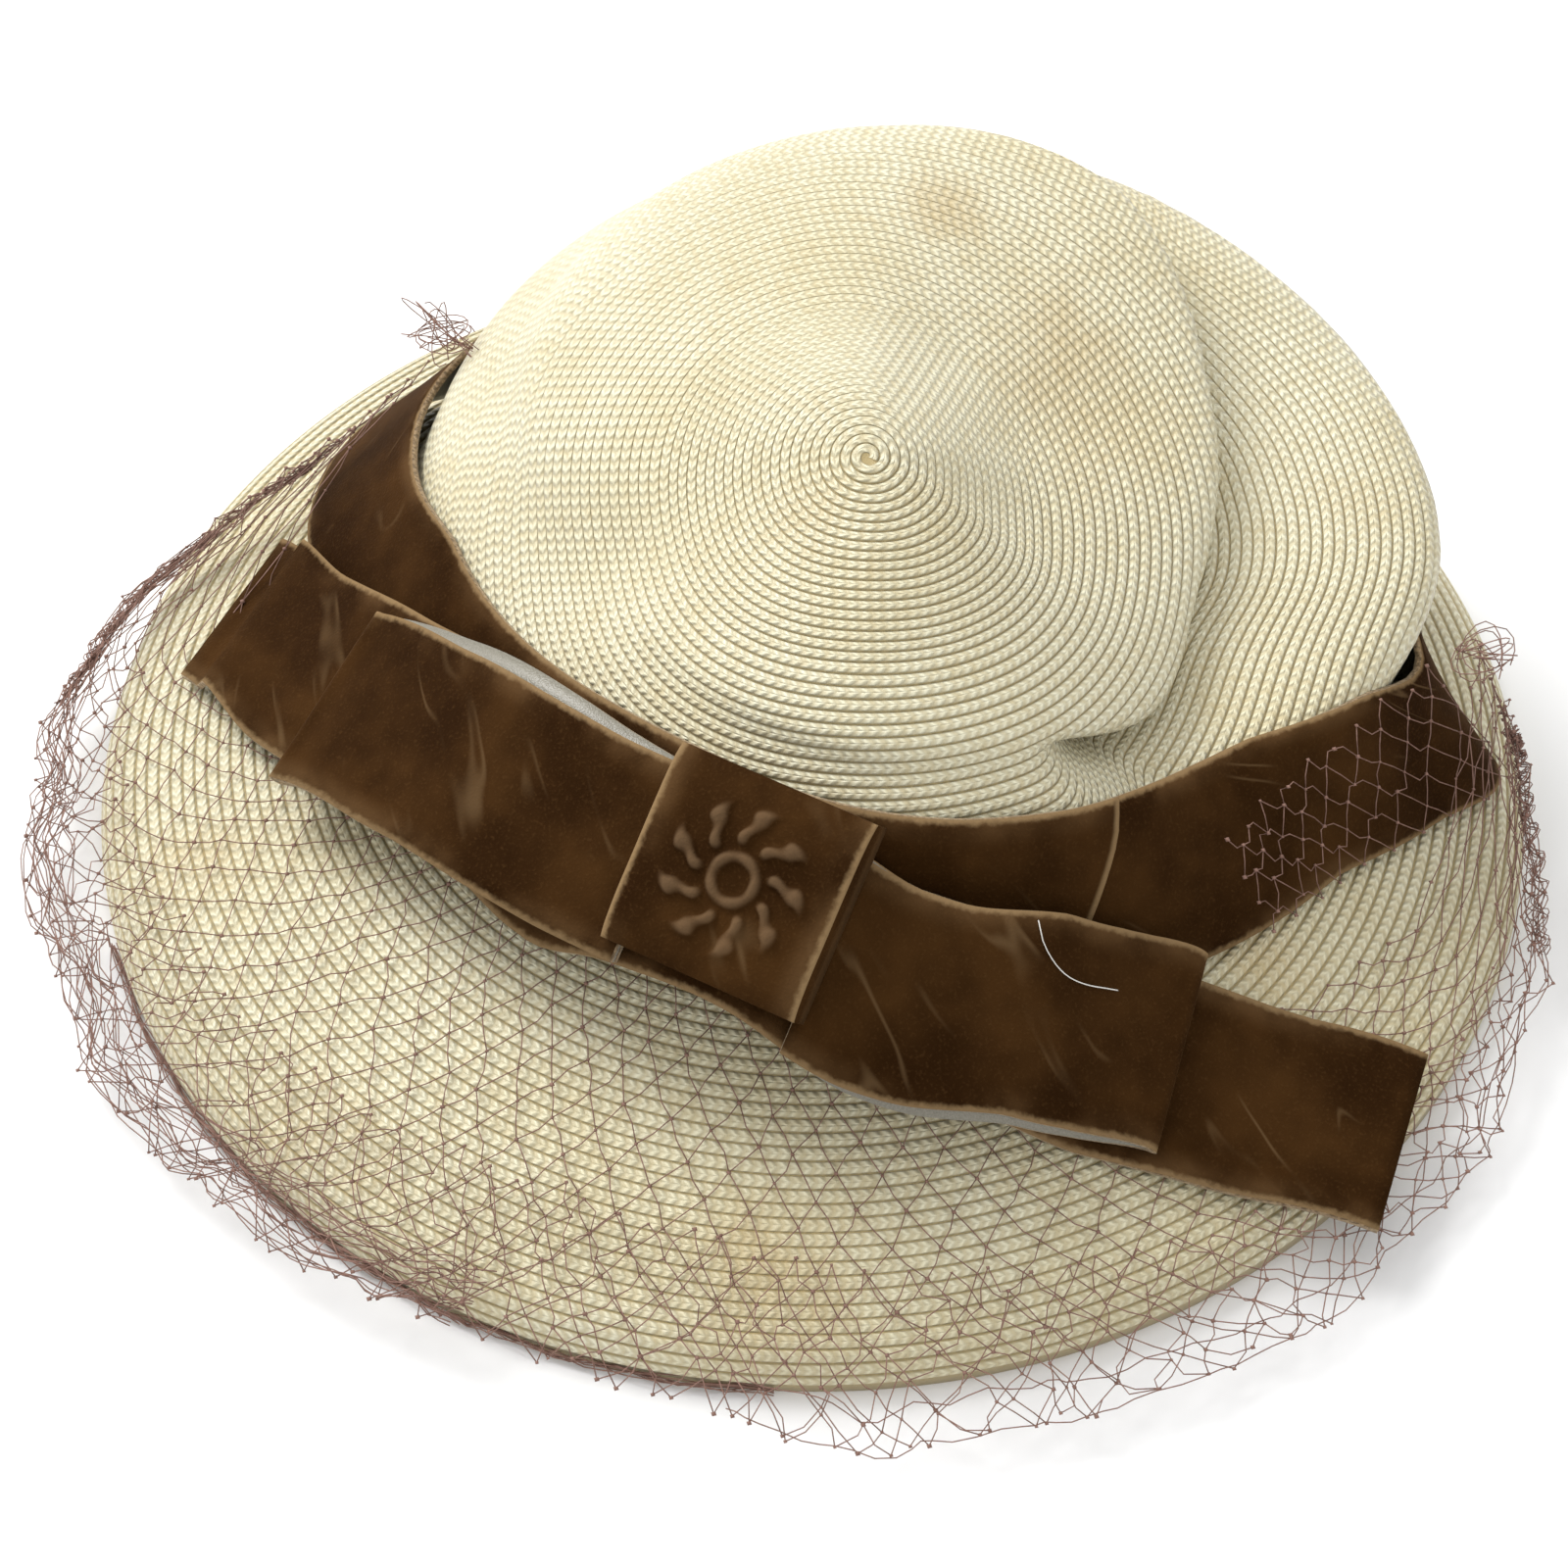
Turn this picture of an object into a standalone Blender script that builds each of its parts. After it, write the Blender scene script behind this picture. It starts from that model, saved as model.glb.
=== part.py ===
"""A sewn-straw hat: a draped crown on a round turned-down brim, a velvet band and bow, and a net veil.

Units are metres, +Z is up and the bow is at the front, towards -Y. The brim's edge stands on z = 0.
"""

import math

import bmesh
import bpy
from mathutils import Vector

# Driving dimensions

BRIM_RADIUS = 0.123
BRIM_SLOPE = math.radians(22)
BRIM_ROLL = 0.008
BRIM_SKIRT = 0.002
STRAW = 0.0016
GAP = 0.0003

HEAD_HALF_WIDTH = 0.088
HEAD_HALF_LENGTH = 0.079
HEAD_BACK_SHIFT = 0.019

CROWN_HEIGHT = 0.086
CROWN_TURN = math.radians(29)
TIP_RIGHT = 0.0086
TIP_BACK = 0.0019
TIP_LEAN = math.radians(20)
TUCK_IN = 0.0065
TUCK_DROP = 0.0075

RIBBON_WIDTH = 0.033
RIBBON = 0.0012
BAND_CLEARANCE = 0.0012
BOW_CLEARANCE = 0.0007

KNOT_WIDTH = 0.0345
KNOT_DEPTH = 0.0075
KNOT_RIGHT = 0.0205
KNOT_FORWARD = 0.004
KNOT_TILT = 36
ROSETTE_RADIUS = 0.0135
ROSETTE_RELIEF = 0.0012
ROSETTE_ARMS = 7

LOOP_REACH = 0.0775
LOOP_OPENING = 0.0036
TAIL_REACH = 0.1125
BOW_RIGHT = 0.011

VEIL_STRAND = 0.0016
VEIL_SHEET = 0.0008
VEIL_INNER_RADIUS = 0.101
VEIL_GATHER = 0.009
VEIL_OVERHANG = 0.012
VEIL_DROOP = 0.006
VEIL_START = math.radians(188)
VEIL_END = math.radians(374)
VEIL_COLUMNS = 30
VEIL_ROWS = 3

# How finely the solids are faceted

AROUND = 54
PART_STEPS = (3, 4, 4, 3, 3)
ROLL_STEPS = 4
KNOT_STEPS = 18
BAND_STEPS = 5
RIBBON_STEPS = 4
SUPPORT_STEPS = 32

# Crown sections through its tip, one row each. Direction is in degrees from the crown's own right side,
# seen from above. Reaches are shares of the head oval's reach that way, heights shares of CROWN_HEIGHT.

CROWN_COLUMNS = ("direction", "dip_reach", "dip_height", "crest_reach", "crest_height",
                 "wall_reach", "wall_height")
CROWN_SECTIONS = (
    (0, 0.30, 0.81, 0.63, 0.65, 1.02, 0.55),
    (30, 0.35, 0.82, 0.73, 0.74, 1.05, 0.61),
    (60, 0.38, 0.90, 0.87, 0.89, 1.01, 0.70),
    (90, 0.37, 0.98, 0.79, 0.95, 0.97, 0.64),
    (120, 0.37, 0.97, 0.73, 0.89, 0.94, 0.58),
    (150, 0.35, 0.92, 0.64, 0.80, 0.89, 0.52),
    (180, 0.33, 0.87, 0.51, 0.74, 0.74, 0.57),
    (210, 0.35, 0.87, 0.54, 0.77, 0.73, 0.63),
    (240, 0.38, 0.90, 0.62, 0.80, 0.80, 0.65),
    (270, 0.41, 0.91, 0.69, 0.81, 0.88, 0.66),
    (300, 0.39, 0.88, 0.66, 0.77, 0.87, 0.60),
    (330, 0.35, 0.84, 0.67, 0.63, 0.87, 0.51),
)

# Where the crown's right-hand fold starts, is full, starts to fade and ends, in the sections' degrees.

FOLD_WINDOW = (-62, -35, 48, 88)

# How far the band's lower edge stands out from the head oval, in ribbon widths. Direction is in degrees
# from the hat's right side, seen from above.

BAND_COLUMNS = ("direction", "flare")
BAND_FLARE = (
    (5, 0.14),
    (18, 0.42),
    (27, 0.70),
    (35, 0.18),
    (45, 0.02),
    (140, -0.02),
    (158, 0.06),
    (168, 0.46),
    (183, 0.40),
    (196, 0.16),
    (240, 0.08),
    (330, 0.10),
)
BAND_START = 336
BAND_STEPS_ROUND = 56
BAND_OVERLAP_STEPS = 8

# The bow's tails and loops, a row for each station. Along is a share of the reach from the bow's
# middle, or for a loop from the knot's side. Back, lift and skew are in ribbon widths: back is from the
# knot's line, lift is how far the ribbon is puffed up above what it lies on, and skew is how much
# further right its front edge ends than its back edge. Tilt in degrees raises its back edge.

RIBBON_COLUMNS = ("along", "back", "lift", "tilt", "skew")
TAILS = (
    (-1.00, 1.13, 0.00, 6, 0.00),
    (-0.80, 0.77, 0.00, 18, 0.00),
    (-0.60, 0.53, 0.00, 28, 0.00),
    (-0.40, 0.31, 0.00, 33, 0.00),
    (-0.20, 0.04, 0.00, 36, 0.00),
    (-0.08, 0.02, 0.00, 36, 0.00),
    (0.22, 0.02, 0.00, 36, 0.00),
    (0.34, 0.13, 0.00, 36, 0.02),
    (0.50, 0.42, 0.02, 28, 0.06),
    (0.75, 0.81, 0.00, 14, 0.13),
    (1.00, 1.11, 0.04, 6, 0.19),
)
LEFT_LOOP = (
    (0.00, -0.02, 0.00, 36, 0.00),
    (0.35, 0.07, 0.06, 33, -0.03),
    (0.70, 0.27, 0.04, 28, -0.07),
    (1.00, 0.46, 0.00, 24, -0.10),
)
RIGHT_LOOP = (
    (0.00, -0.02, 0.00, 36, 0.00),
    (0.35, 0.10, 0.06, 32, 0.07),
    (0.70, 0.45, 0.04, 27, 0.14),
    (1.00, 0.76, 0.00, 22, 0.20),
)

# Curves through tables


def smooth(a, b, c, d, t):
    """The Catmull-Rom curve between b and c."""
    return b + 0.5 * t * (c - a + t * (2 * a - 5 * b + 4 * c - d + t * (3 * (b - c) + d - a)))


def around_table(rows, angle):
    """A row of values read from a closed table whose first column is a direction in degrees."""
    degrees = math.degrees(angle) % 360
    starts = [row[0] for row in rows]
    here = len([start for start in starts if start <= degrees]) - 1
    count = len(rows)
    low = starts[here] if here >= 0 else starts[-1] - 360
    high = starts[(here + 1) % count] + (360 if here + 1 >= count else 0)
    share = (degrees - low) / (high - low)
    picked = [rows[(here + step) % count] for step in (-1, 0, 1, 2)]
    return [smooth(*values, share) for values in zip(*(row[1:] for row in picked))]


def along_table(rows, share):
    """A row of values read from an open table whose first column runs from 0 to 1."""
    here = max(0, min(len(rows) - 2, len([row for row in rows if row[0] <= share]) - 1))
    local = (share - rows[here][0]) / (rows[here + 1][0] - rows[here][0])
    picked = [rows[min(max(here + step, 0), len(rows) - 1)] for step in (-1, 0, 1, 2)]
    return [smooth(*values, local) for values in zip(*(row[1:] for row in picked))]


def ease(share):
    share = max(0.0, min(1.0, share))
    return share * share * (3 - 2 * share)


# Surfaces of the straw


def head_reach(angle):
    """From the tip's axis out to the head oval."""
    across, along = math.cos(angle), math.sin(angle)
    start_across, start_along = TIP_RIGHT, TIP_BACK - HEAD_BACK_SHIFT
    a = (across / HEAD_HALF_WIDTH) ** 2 + (along / HEAD_HALF_LENGTH) ** 2
    b = across * start_across / HEAD_HALF_WIDTH**2 + along * start_along / HEAD_HALF_LENGTH**2
    c = (start_across / HEAD_HALF_WIDTH) ** 2 + (start_along / HEAD_HALF_LENGTH) ** 2 - 1
    return (-b + math.sqrt(b * b - a * c)) / a


def plan_point(angle, reach):
    return TIP_RIGHT + reach * math.cos(angle), TIP_BACK + reach * math.sin(angle)


def brim_profile():
    """The brim's upper side from the skirt's foot up the roll, as radius and height."""
    bend = math.pi / 2 - BRIM_SLOPE
    points = [(BRIM_RADIUS, 0.0)]
    for step in range(ROLL_STEPS + 1):
        turn = bend * step / ROLL_STEPS
        radius = BRIM_RADIUS - BRIM_ROLL * (1 - math.cos(turn))
        points.append((radius, BRIM_SKIRT + BRIM_ROLL * math.sin(turn)))
    return points


def brim_top(x, y):
    """The height of the brim's upper side over a point of the plan."""
    roll_radius, roll_height = brim_profile()[-1]
    radius = math.hypot(x, y)
    if radius <= roll_radius:
        return roll_height + (roll_radius - radius) * math.tan(BRIM_SLOPE)
    over = min(1.0, (radius - BRIM_RADIUS + BRIM_ROLL) / BRIM_ROLL)
    return BRIM_SKIRT + BRIM_ROLL * math.sqrt(1 - over * over)


def fold_share(degrees):
    start, full, fade, end = FOLD_WINDOW
    turned = (degrees - start) % 360 + start
    return ease((turned - start) / (full - start)) * (1 - ease((turned - fade) / (end - fade)))


def crown_keys(angle):
    """The reach and height of a section's key points, from the tip to the brim."""
    own = angle - CROWN_TURN
    dip_r, dip_h, crest_r, crest_h, wall_r, wall_h = around_table(CROWN_SECTIONS, own)
    reach = head_reach(angle)
    dip = (dip_r * reach, dip_h * CROWN_HEIGHT)
    crest = (crest_r * reach, crest_h * CROWN_HEIGHT)
    wall = (wall_r * reach, wall_h * CROWN_HEIGHT)
    fold = fold_share(math.degrees(own))
    plain = (crest[0] * 0.6 + wall[0] * 0.4, crest[1] * 0.6 + wall[1] * 0.4)
    tucked = (crest[0] - TUCK_IN, crest[1] - TUCK_DROP)
    tuck = tuple(a + (b - a) * fold for a, b in zip(plain, tucked))
    base = (reach, brim_top(*plan_point(angle, reach - STRAW)) + GAP + STRAW)
    return [(0.0, CROWN_HEIGHT), dip, crest, tuck, wall, base]


def crown_section(angle, steps=PART_STEPS):
    """Points down one section of the crown, as reach and height."""
    keys = crown_keys(angle)
    slope = -math.tan(TIP_LEAN) * math.cos(angle - CROWN_TURN + math.pi / 2)
    before = (-keys[1][0], keys[1][1] - 2 * keys[1][0] * slope)
    after = (2 * keys[-1][0] - keys[-2][0], 2 * keys[-1][1] - keys[-2][1])
    chain = [before, *keys, after]
    points = []
    for part, count in enumerate(steps):
        a, b, c, d = chain[part : part + 4]
        for step in range(count):
            share = step / count
            points.append(tuple(smooth(*values, share) for values in zip(a, b, c, d)))
    points.append(keys[-1])
    points.append((keys[-1][0], keys[-1][1] - STRAW))
    return points


def in_space(angle, point):
    x, y = plan_point(angle, point[0])
    return Vector((x, y, point[1]))


# Meshes and objects


def sheet_object(name, rows, material, wall, closed=False, tip=None):
    """A sheet through rows of points, all of one length, thickened on its back side."""
    mesh = bpy.data.meshes.new(name)
    bm = bmesh.new()
    grid = [[bm.verts.new(point) for point in row] for row in rows]
    if tip is not None:
        tip = bm.verts.new(tip)
        first = grid[0]
        for here, there in zip(first, first[1:] + first[:1]):
            bm.faces.new((tip, here, there))
    for upper, lower in zip(grid, grid[1:]):
        pairs = list(zip(upper, lower))
        following = pairs[1:] + pairs[:1] if closed else pairs[1:]
        for (a, b), (d, c) in zip(pairs, following):
            bm.faces.new((a, b, c, d))
    bm.to_mesh(mesh)
    bm.free()
    thing = finished_object(name, mesh, material)
    solidify = thing.modifiers.new("wall", "SOLIDIFY")
    solidify.thickness = wall
    solidify.offset = -1
    solidify.use_even_offset = False
    return thing


def finished_object(name, mesh, material):
    mesh.materials.append(material)
    mesh.shade_smooth()
    mesh.set_sharp_from_angle(angle=math.radians(40))
    thing = bpy.data.objects.new(name, mesh)
    bpy.context.collection.objects.link(thing)
    thing.parent = ROOT
    return thing


def plain_material(name, colour, roughness, sheen=0.0):
    material = bpy.data.materials.new(name)
    material.use_nodes = True
    shader = material.node_tree.nodes["Principled BSDF"]
    shader.inputs["Base Color"].default_value = (*colour, 1)
    shader.inputs["Roughness"].default_value = roughness
    shader.inputs["Metallic"].default_value = 0.0
    shader.inputs["Sheen Weight"].default_value = sheen
    return material


# Straw crown and brim


def crown(material):
    angles = [2 * math.pi * step / AROUND for step in range(AROUND)]
    sections = [[in_space(angle, point) for point in crown_section(angle)[1:]] for angle in angles]
    rows = [list(row) for row in zip(*sections)]
    tip = (TIP_RIGHT, TIP_BACK, CROWN_HEIGHT)
    return sheet_object("crown", rows, material, STRAW, closed=True, tip=tip)


def brim(material):
    roll = brim_profile()[::-1]
    flat_rows = 3
    rows = [[] for _ in range(flat_rows + len(roll))]
    for step in range(AROUND):
        angle = 2 * math.pi * step / AROUND
        reach = head_reach(angle) - STRAW
        x, y = plan_point(angle, reach)
        inner, turned = math.hypot(x, y), math.atan2(y, x)
        edge = 2 * math.pi * step / AROUND
        for row in range(flat_rows):
            share = row / flat_rows
            radius = inner + (roll[0][0] - inner) * share
            turn = turned + ((edge - turned + math.pi) % (2 * math.pi) - math.pi) * share
            px, py = radius * math.cos(turn), radius * math.sin(turn)
            rows[row].append((px, py, brim_top(px, py)))
        for row, (radius, height) in enumerate(roll):
            rows[flat_rows + row].append((radius * math.cos(edge), radius * math.sin(edge), height))
    return sheet_object("brim", rows, material, STRAW, closed=True)


# Velvet band


def wall_outline(angle, clearance):
    """The crown's wall from its foot up, moved outwards, as reach and height."""
    points = crown_section(angle)[::-1][: sum(PART_STEPS[2:]) + 3]
    moved = []
    for before, here, after in zip([points[0], *points], points, [*points[1:], points[-1]]):
        run, rise = after[0] - before[0], after[1] - before[1]
        length = math.hypot(run, rise)
        moved.append((here[0] + clearance * rise / length, here[1] - clearance * run / length))
    return moved


def taut(start, outline):
    """The tight path from a point over an outline, as the outline's points that it touches."""
    path = [start]
    rest = list(outline)
    while rest:
        r, z = path[-1]
        leans = [math.atan2(p[0] - r, p[1] - z) if math.dist(p, path[-1]) > 1e-6 else -9 for p in rest]
        pick = leans.index(max(leans))
        path.append(rest[pick])
        rest = rest[pick + 1 :]
    return path


def along_path(path, distance):
    for low, high in zip(path, path[1:]):
        length = math.dist(low, high)
        if distance <= length:
            return tuple(a + (b - a) * distance / length for a, b in zip(low, high))
        distance -= length
    return path[-1]


def band_section(angle, lift):
    """The ribbon's outer side across one section, from its lower edge up, as reach and height."""
    off = RIBBON + BAND_CLEARANCE + lift
    reach = head_reach(angle) + around_table(BAND_FLARE, angle)[0] * RIBBON_WIDTH + off
    foot = (reach, brim_top(*plan_point(angle, reach - off)) + off)
    path = taut(foot, [p for p in wall_outline(angle, off) if p[1] > foot[1]])
    return [along_path(path, RIBBON_WIDTH * step / BAND_STEPS) for step in range(BAND_STEPS + 1)]


def band_rows():
    """Every section of the band in order: its angle, and its lift where it laps over its own start."""
    for step in range(BAND_STEPS_ROUND + 1):
        angle = math.radians(BAND_START) + 2 * math.pi * step / AROUND
        left = (BAND_STEPS_ROUND - step) / BAND_OVERLAP_STEPS
        yield angle, (RIBBON + GAP) * ease(2 - 2 * left)


def band(material):
    rows = []
    for angle, lift in band_rows():
        rows.append([in_space(angle, point) for point in band_section(angle, lift)])
    return sheet_object("band", rows, material, RIBBON)


# Bow


def hat_top(x, y):
    """The height of what a bow ribbon lies on: the net, the brim, the band or the crown."""
    angle = math.atan2(y - TIP_BACK, x - TIP_RIGHT)
    reach = math.hypot(y - TIP_BACK, x - TIP_RIGHT)
    section = band_section(angle, RIBBON + GAP)
    if reach >= section[0][0]:
        return veil_height(math.hypot(x, y))
    outline = section + [(0.0, section[-1][1])]
    heights = [crown_height(angle, reach)]
    for outer, inner in zip(outline, outline[1:]):
        if inner[0] <= reach <= outer[0]:
            share = (outer[0] - reach) / max(outer[0] - inner[0], 1e-6)
            heights.append(outer[1] + (inner[1] - outer[1]) * share)
    return max(heights)


def crown_height(angle, reach):
    heights = [0.0]
    points = crown_section(angle)
    for inner, outer in zip(points, points[1:]):
        low, high = sorted((inner[0], outer[0]))
        if low <= reach <= high:
            share = (reach - inner[0]) / (outer[0] - inner[0]) if outer[0] != inner[0] else 0.0
            heights.append(inner[1] + (outer[1] - inner[1]) * share)
    return max(heights)


def ribbon_row(x, station, supports, off):
    """A line across a bow ribbon, from its front edge to its back edge, seated on what is below it."""
    back, lift, tilt, skew = station
    middle = HEAD_BACK_SHIFT - HEAD_HALF_LENGTH - KNOT_FORWARD + back * RIBBON_WIDTH
    rise = math.sin(math.radians(tilt))
    run = math.cos(math.radians(tilt))
    needed = []
    for step in range(SUPPORT_STEPS + 1):
        place = RIBBON_WIDTH * (0.5 - step / SUPPORT_STEPS)
        y = middle + place * run
        needed.append(max(support(x - place * skew, y) for support in supports) - place * rise)
    height = max(needed) + off / run + lift * RIBBON_WIDTH
    places = [RIBBON_WIDTH * (step / RIBBON_STEPS - 0.5) for step in range(RIBBON_STEPS + 1)]
    return [Vector((x - place * skew, middle + place * run, height + place * rise)) for place in places]


def tail_rows():
    rows = []
    count = 24
    for step in range(count + 1):
        share = 2 * step / count - 1
        station = along_table(TAILS, share)
        rows.append(ribbon_row(BOW_RIGHT + share * TAIL_REACH, station, [hat_top], RIBBON + BOW_CLEARANCE))
    return rows


def tails(material):
    return sheet_object("bow_tails", tail_rows(), material, RIBBON)


def rail_at(rail, x):
    for left, right in zip(rail, rail[1:]):
        if left.x <= x <= right.x:
            return left.lerp(right, (x - left.x) / (right.x - left.x))
    return None


def rows_top(rows):
    """The height of a ribbon's upper side as a function of a place in plan, and 0 away from it."""
    rails = list(zip(*rows))

    def top(x, y):
        line = [point for point in (rail_at(rail, x) for rail in rails) if point is not None]
        for near, far in zip(line, line[1:]):
            if near.y <= y <= far.y:
                return near.z + (far.z - near.z) * (y - near.y) / (far.y - near.y)
        return 0.0

    return top


def loop(name, table, direction, under, material):
    """A ribbon loop: out from the knot on top, round its end and back below."""
    side = KNOT_RIGHT + direction * (KNOT_WIDTH / 2 + GAP)
    end = BOW_RIGHT + direction * (LOOP_REACH - LOOP_OPENING / 2)
    steps, turns = 9, 6
    middles, normals = [], []
    for step in range(steps + 1):
        station = along_table(table, step / steps)
        x = side + (end - side) * step / steps
        off = LOOP_OPENING / 2 + BOW_CLEARANCE
        middles.append(ribbon_row(x, station, [hat_top, under], off))
        tilt = math.radians(station[2])
        normals.append(Vector((0, -math.sin(tilt), math.cos(tilt))))
    rows = []
    for middle, normal in zip(middles, normals):
        rows.append([point + normal * LOOP_OPENING / 2 for point in middle])
    for step in range(1, turns):
        turn = math.pi * step / turns
        past = Vector((direction * LOOP_OPENING / 2 * math.sin(turn), 0, 0))
        rows.append([point + past + normals[-1] * LOOP_OPENING / 2 * math.cos(turn) for point in middles[-1]])
    for middle, normal in list(zip(middles, normals))[::-1]:
        rows.append([point - normal * LOOP_OPENING / 2 for point in middle])
    if direction < 0:
        rows = [row[::-1] for row in rows]
    return sheet_object(name, rows, material, RIBBON)


def rosette(across, up):
    """How far the knot's raised swirl stands out at a place on its face."""
    radius = math.hypot(across, up) / ROSETTE_RADIUS
    if radius >= 1:
        return 0.0
    turn = math.atan2(up, across)
    arms = 0.5 + 0.5 * math.cos(ROSETTE_ARMS * turn + 5.5 * radius)
    rings = 0.5 + 0.5 * math.cos(3 * math.pi * radius)
    return ROSETTE_RELIEF * ease(3 * (1 - radius)) * (0.65 * arms + 0.35 * rings)


def knot(under, material):
    """The wrap round the bow's middle: a padded slab with a raised swirl on its face."""
    steps = KNOT_STEPS
    mesh = bpy.data.meshes.new("bow_knot")
    bm = bmesh.new()
    front, back = {}, {}
    for i in range(steps + 1):
        for j in range(steps + 1):
            u, v = 2 * i / steps - 1, 2 * j / steps - 1
            x, y = u * KNOT_WIDTH / 2, v * RIBBON_WIDTH / 2
            puff = KNOT_DEPTH / 2 * (1 - 0.45 * v**4) * (1 - 0.3 * u**6)
            front[i, j] = bm.verts.new((x, y, puff + rosette(x, y)))
            if i in (0, steps) or j in (0, steps):
                back[i, j] = bm.verts.new((x, y, -KNOT_DEPTH / 2))
    for i in range(steps):
        for j in range(steps):
            bm.faces.new((front[i, j], front[i + 1, j], front[i + 1, j + 1], front[i, j + 1]))
    rim = [(i, 0) for i in range(steps)] + [(steps, j) for j in range(steps)]
    rim += [(i, steps) for i in range(steps, 0, -1)] + [(0, j) for j in range(steps, 0, -1)]
    for here, there in zip(rim, rim[1:] + rim[:1]):
        bm.faces.new((back[here], back[there], front[there], front[here]))
    bm.faces.new([back[here] for here in rim[::-1]])
    bm.to_mesh(mesh)
    bm.free()
    off = KNOT_DEPTH / 2 + BOW_CLEARANCE
    sides = [KNOT_RIGHT + KNOT_WIDTH * (step / KNOT_STEPS - 0.5) for step in range(KNOT_STEPS + 1)]
    lines = [ribbon_row(x, (0.0, 0.0, KNOT_TILT, 0.0), [hat_top, under], off) for x in sides]
    thing = finished_object("bow_knot", mesh, material)
    thing.location = max((line[RIBBON_STEPS // 2] for line in lines), key=lambda point: point.z)
    thing.location.x = KNOT_RIGHT
    thing.rotation_euler = (math.radians(KNOT_TILT), 0, 0)
    return thing


# Net veil


def veil_height(radius):
    """The height of the net's upper side: on the brim, then past its edge and drooping."""
    roll_radius, roll_height = brim_profile()[-1]
    lift = VEIL_SHEET + 2 * GAP
    if radius <= roll_radius:
        return brim_top(radius, 0) + lift
    past = min(1.0, (radius - roll_radius) / (BRIM_RADIUS + VEIL_OVERHANG - roll_radius))
    return roll_height + lift - VEIL_DROOP * past**1.6


def veil_point(column, row):
    """A crossing of the net: columns run round the brim, rows out over its edge."""
    along = column / (2 * VEIL_COLUMNS)
    angle = VEIL_START + (VEIL_END - VEIL_START) * along
    out = row / (VEIL_ROWS + 1)
    full = ease(6 * along) * ease(6 - 6 * along)
    outer = BRIM_RADIUS + VEIL_OVERHANG * (0.35 + 0.65 * full)
    inner = VEIL_INNER_RADIUS + VEIL_GATHER * (1 - full)
    radius = inner + (outer - inner) * out
    return Vector((radius * math.cos(angle), radius * math.sin(angle), veil_height(radius)))


def veil(material):
    mesh = bpy.data.meshes.new("veil")
    bm = bmesh.new()
    crossings = {}

    def crossing(column, row):
        if (column, row) not in crossings:
            crossings[column, row] = bm.verts.new(veil_point(column, row))
        return crossings[column, row]

    for row in range(1, VEIL_ROWS + 1):
        for column in range(2 - row % 2, 2 * VEIL_COLUMNS, 2):
            bm.faces.new((crossing(column - 1, row), crossing(column, row + 1),
                          crossing(column + 1, row), crossing(column, row - 1)))
    bm.normal_update()
    strands = set(bmesh.ops.inset_individual(bm, faces=bm.faces[:], thickness=VEIL_STRAND / 2)["faces"])
    holes = [face for face in bm.faces if face not in strands]
    bmesh.ops.delete(bm, geom=holes, context="FACES_ONLY")
    bmesh.ops.recalc_face_normals(bm, faces=bm.faces[:])
    bm.to_mesh(mesh)
    bm.free()
    thing = finished_object("veil", mesh, material)
    solidify = thing.modifiers.new("wall", "SOLIDIFY")
    solidify.thickness = VEIL_SHEET
    solidify.offset = -1
    return thing


# The whole hat


def centre_box():
    """Moves the hat so that the middle of its box's floor is the origin."""
    bpy.context.view_layer.update()
    graph = bpy.context.evaluated_depsgraph_get()
    corners = []
    for thing in ROOT.children:
        shaped = thing.evaluated_get(graph)
        corners += [thing.matrix_world @ vertex.co for vertex in shaped.data.vertices]
    for axis in (0, 1):
        values = [corner[axis] for corner in corners]
        ROOT.location[axis] -= (min(values) + max(values)) / 2
    bpy.context.view_layer.update()


for old in list(bpy.data.objects):
    bpy.data.objects.remove(old)

ROOT = bpy.data.objects.new("hat", None)
bpy.context.collection.objects.link(ROOT)

straw = plain_material("straw", (0.80, 0.73, 0.55), 0.42)
velvet = plain_material("velvet", (0.075, 0.038, 0.014), 0.75, sheen=0.6)
net = plain_material("net", (0.16, 0.09, 0.07), 0.7)

crown(straw)
brim(straw)
band(velvet)
tails(velvet)
loop("bow_loop_left", LEFT_LOOP, -1, rows_top(tail_rows()), velvet)
loop("bow_loop_right", RIGHT_LOOP, 1, rows_top(tail_rows()), velvet)
knot(rows_top(tail_rows()), velvet)
veil(net)
centre_box()
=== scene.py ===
"""The look of the straw hat: sewn braid, velvet ribbons with woven edges, and a knotted net.

Lengths are metres in the frame of the solids. The hat's surfaces are worked out round the middle
of the brim's circle, and every mesh is then set where the frame holds that circle. A reach is a
distance from the upright axis through the crown's tip, a radius one from the brim's middle.
"""

import math
import random

import bmesh
import bpy
import numpy as np
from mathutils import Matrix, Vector, noise


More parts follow.
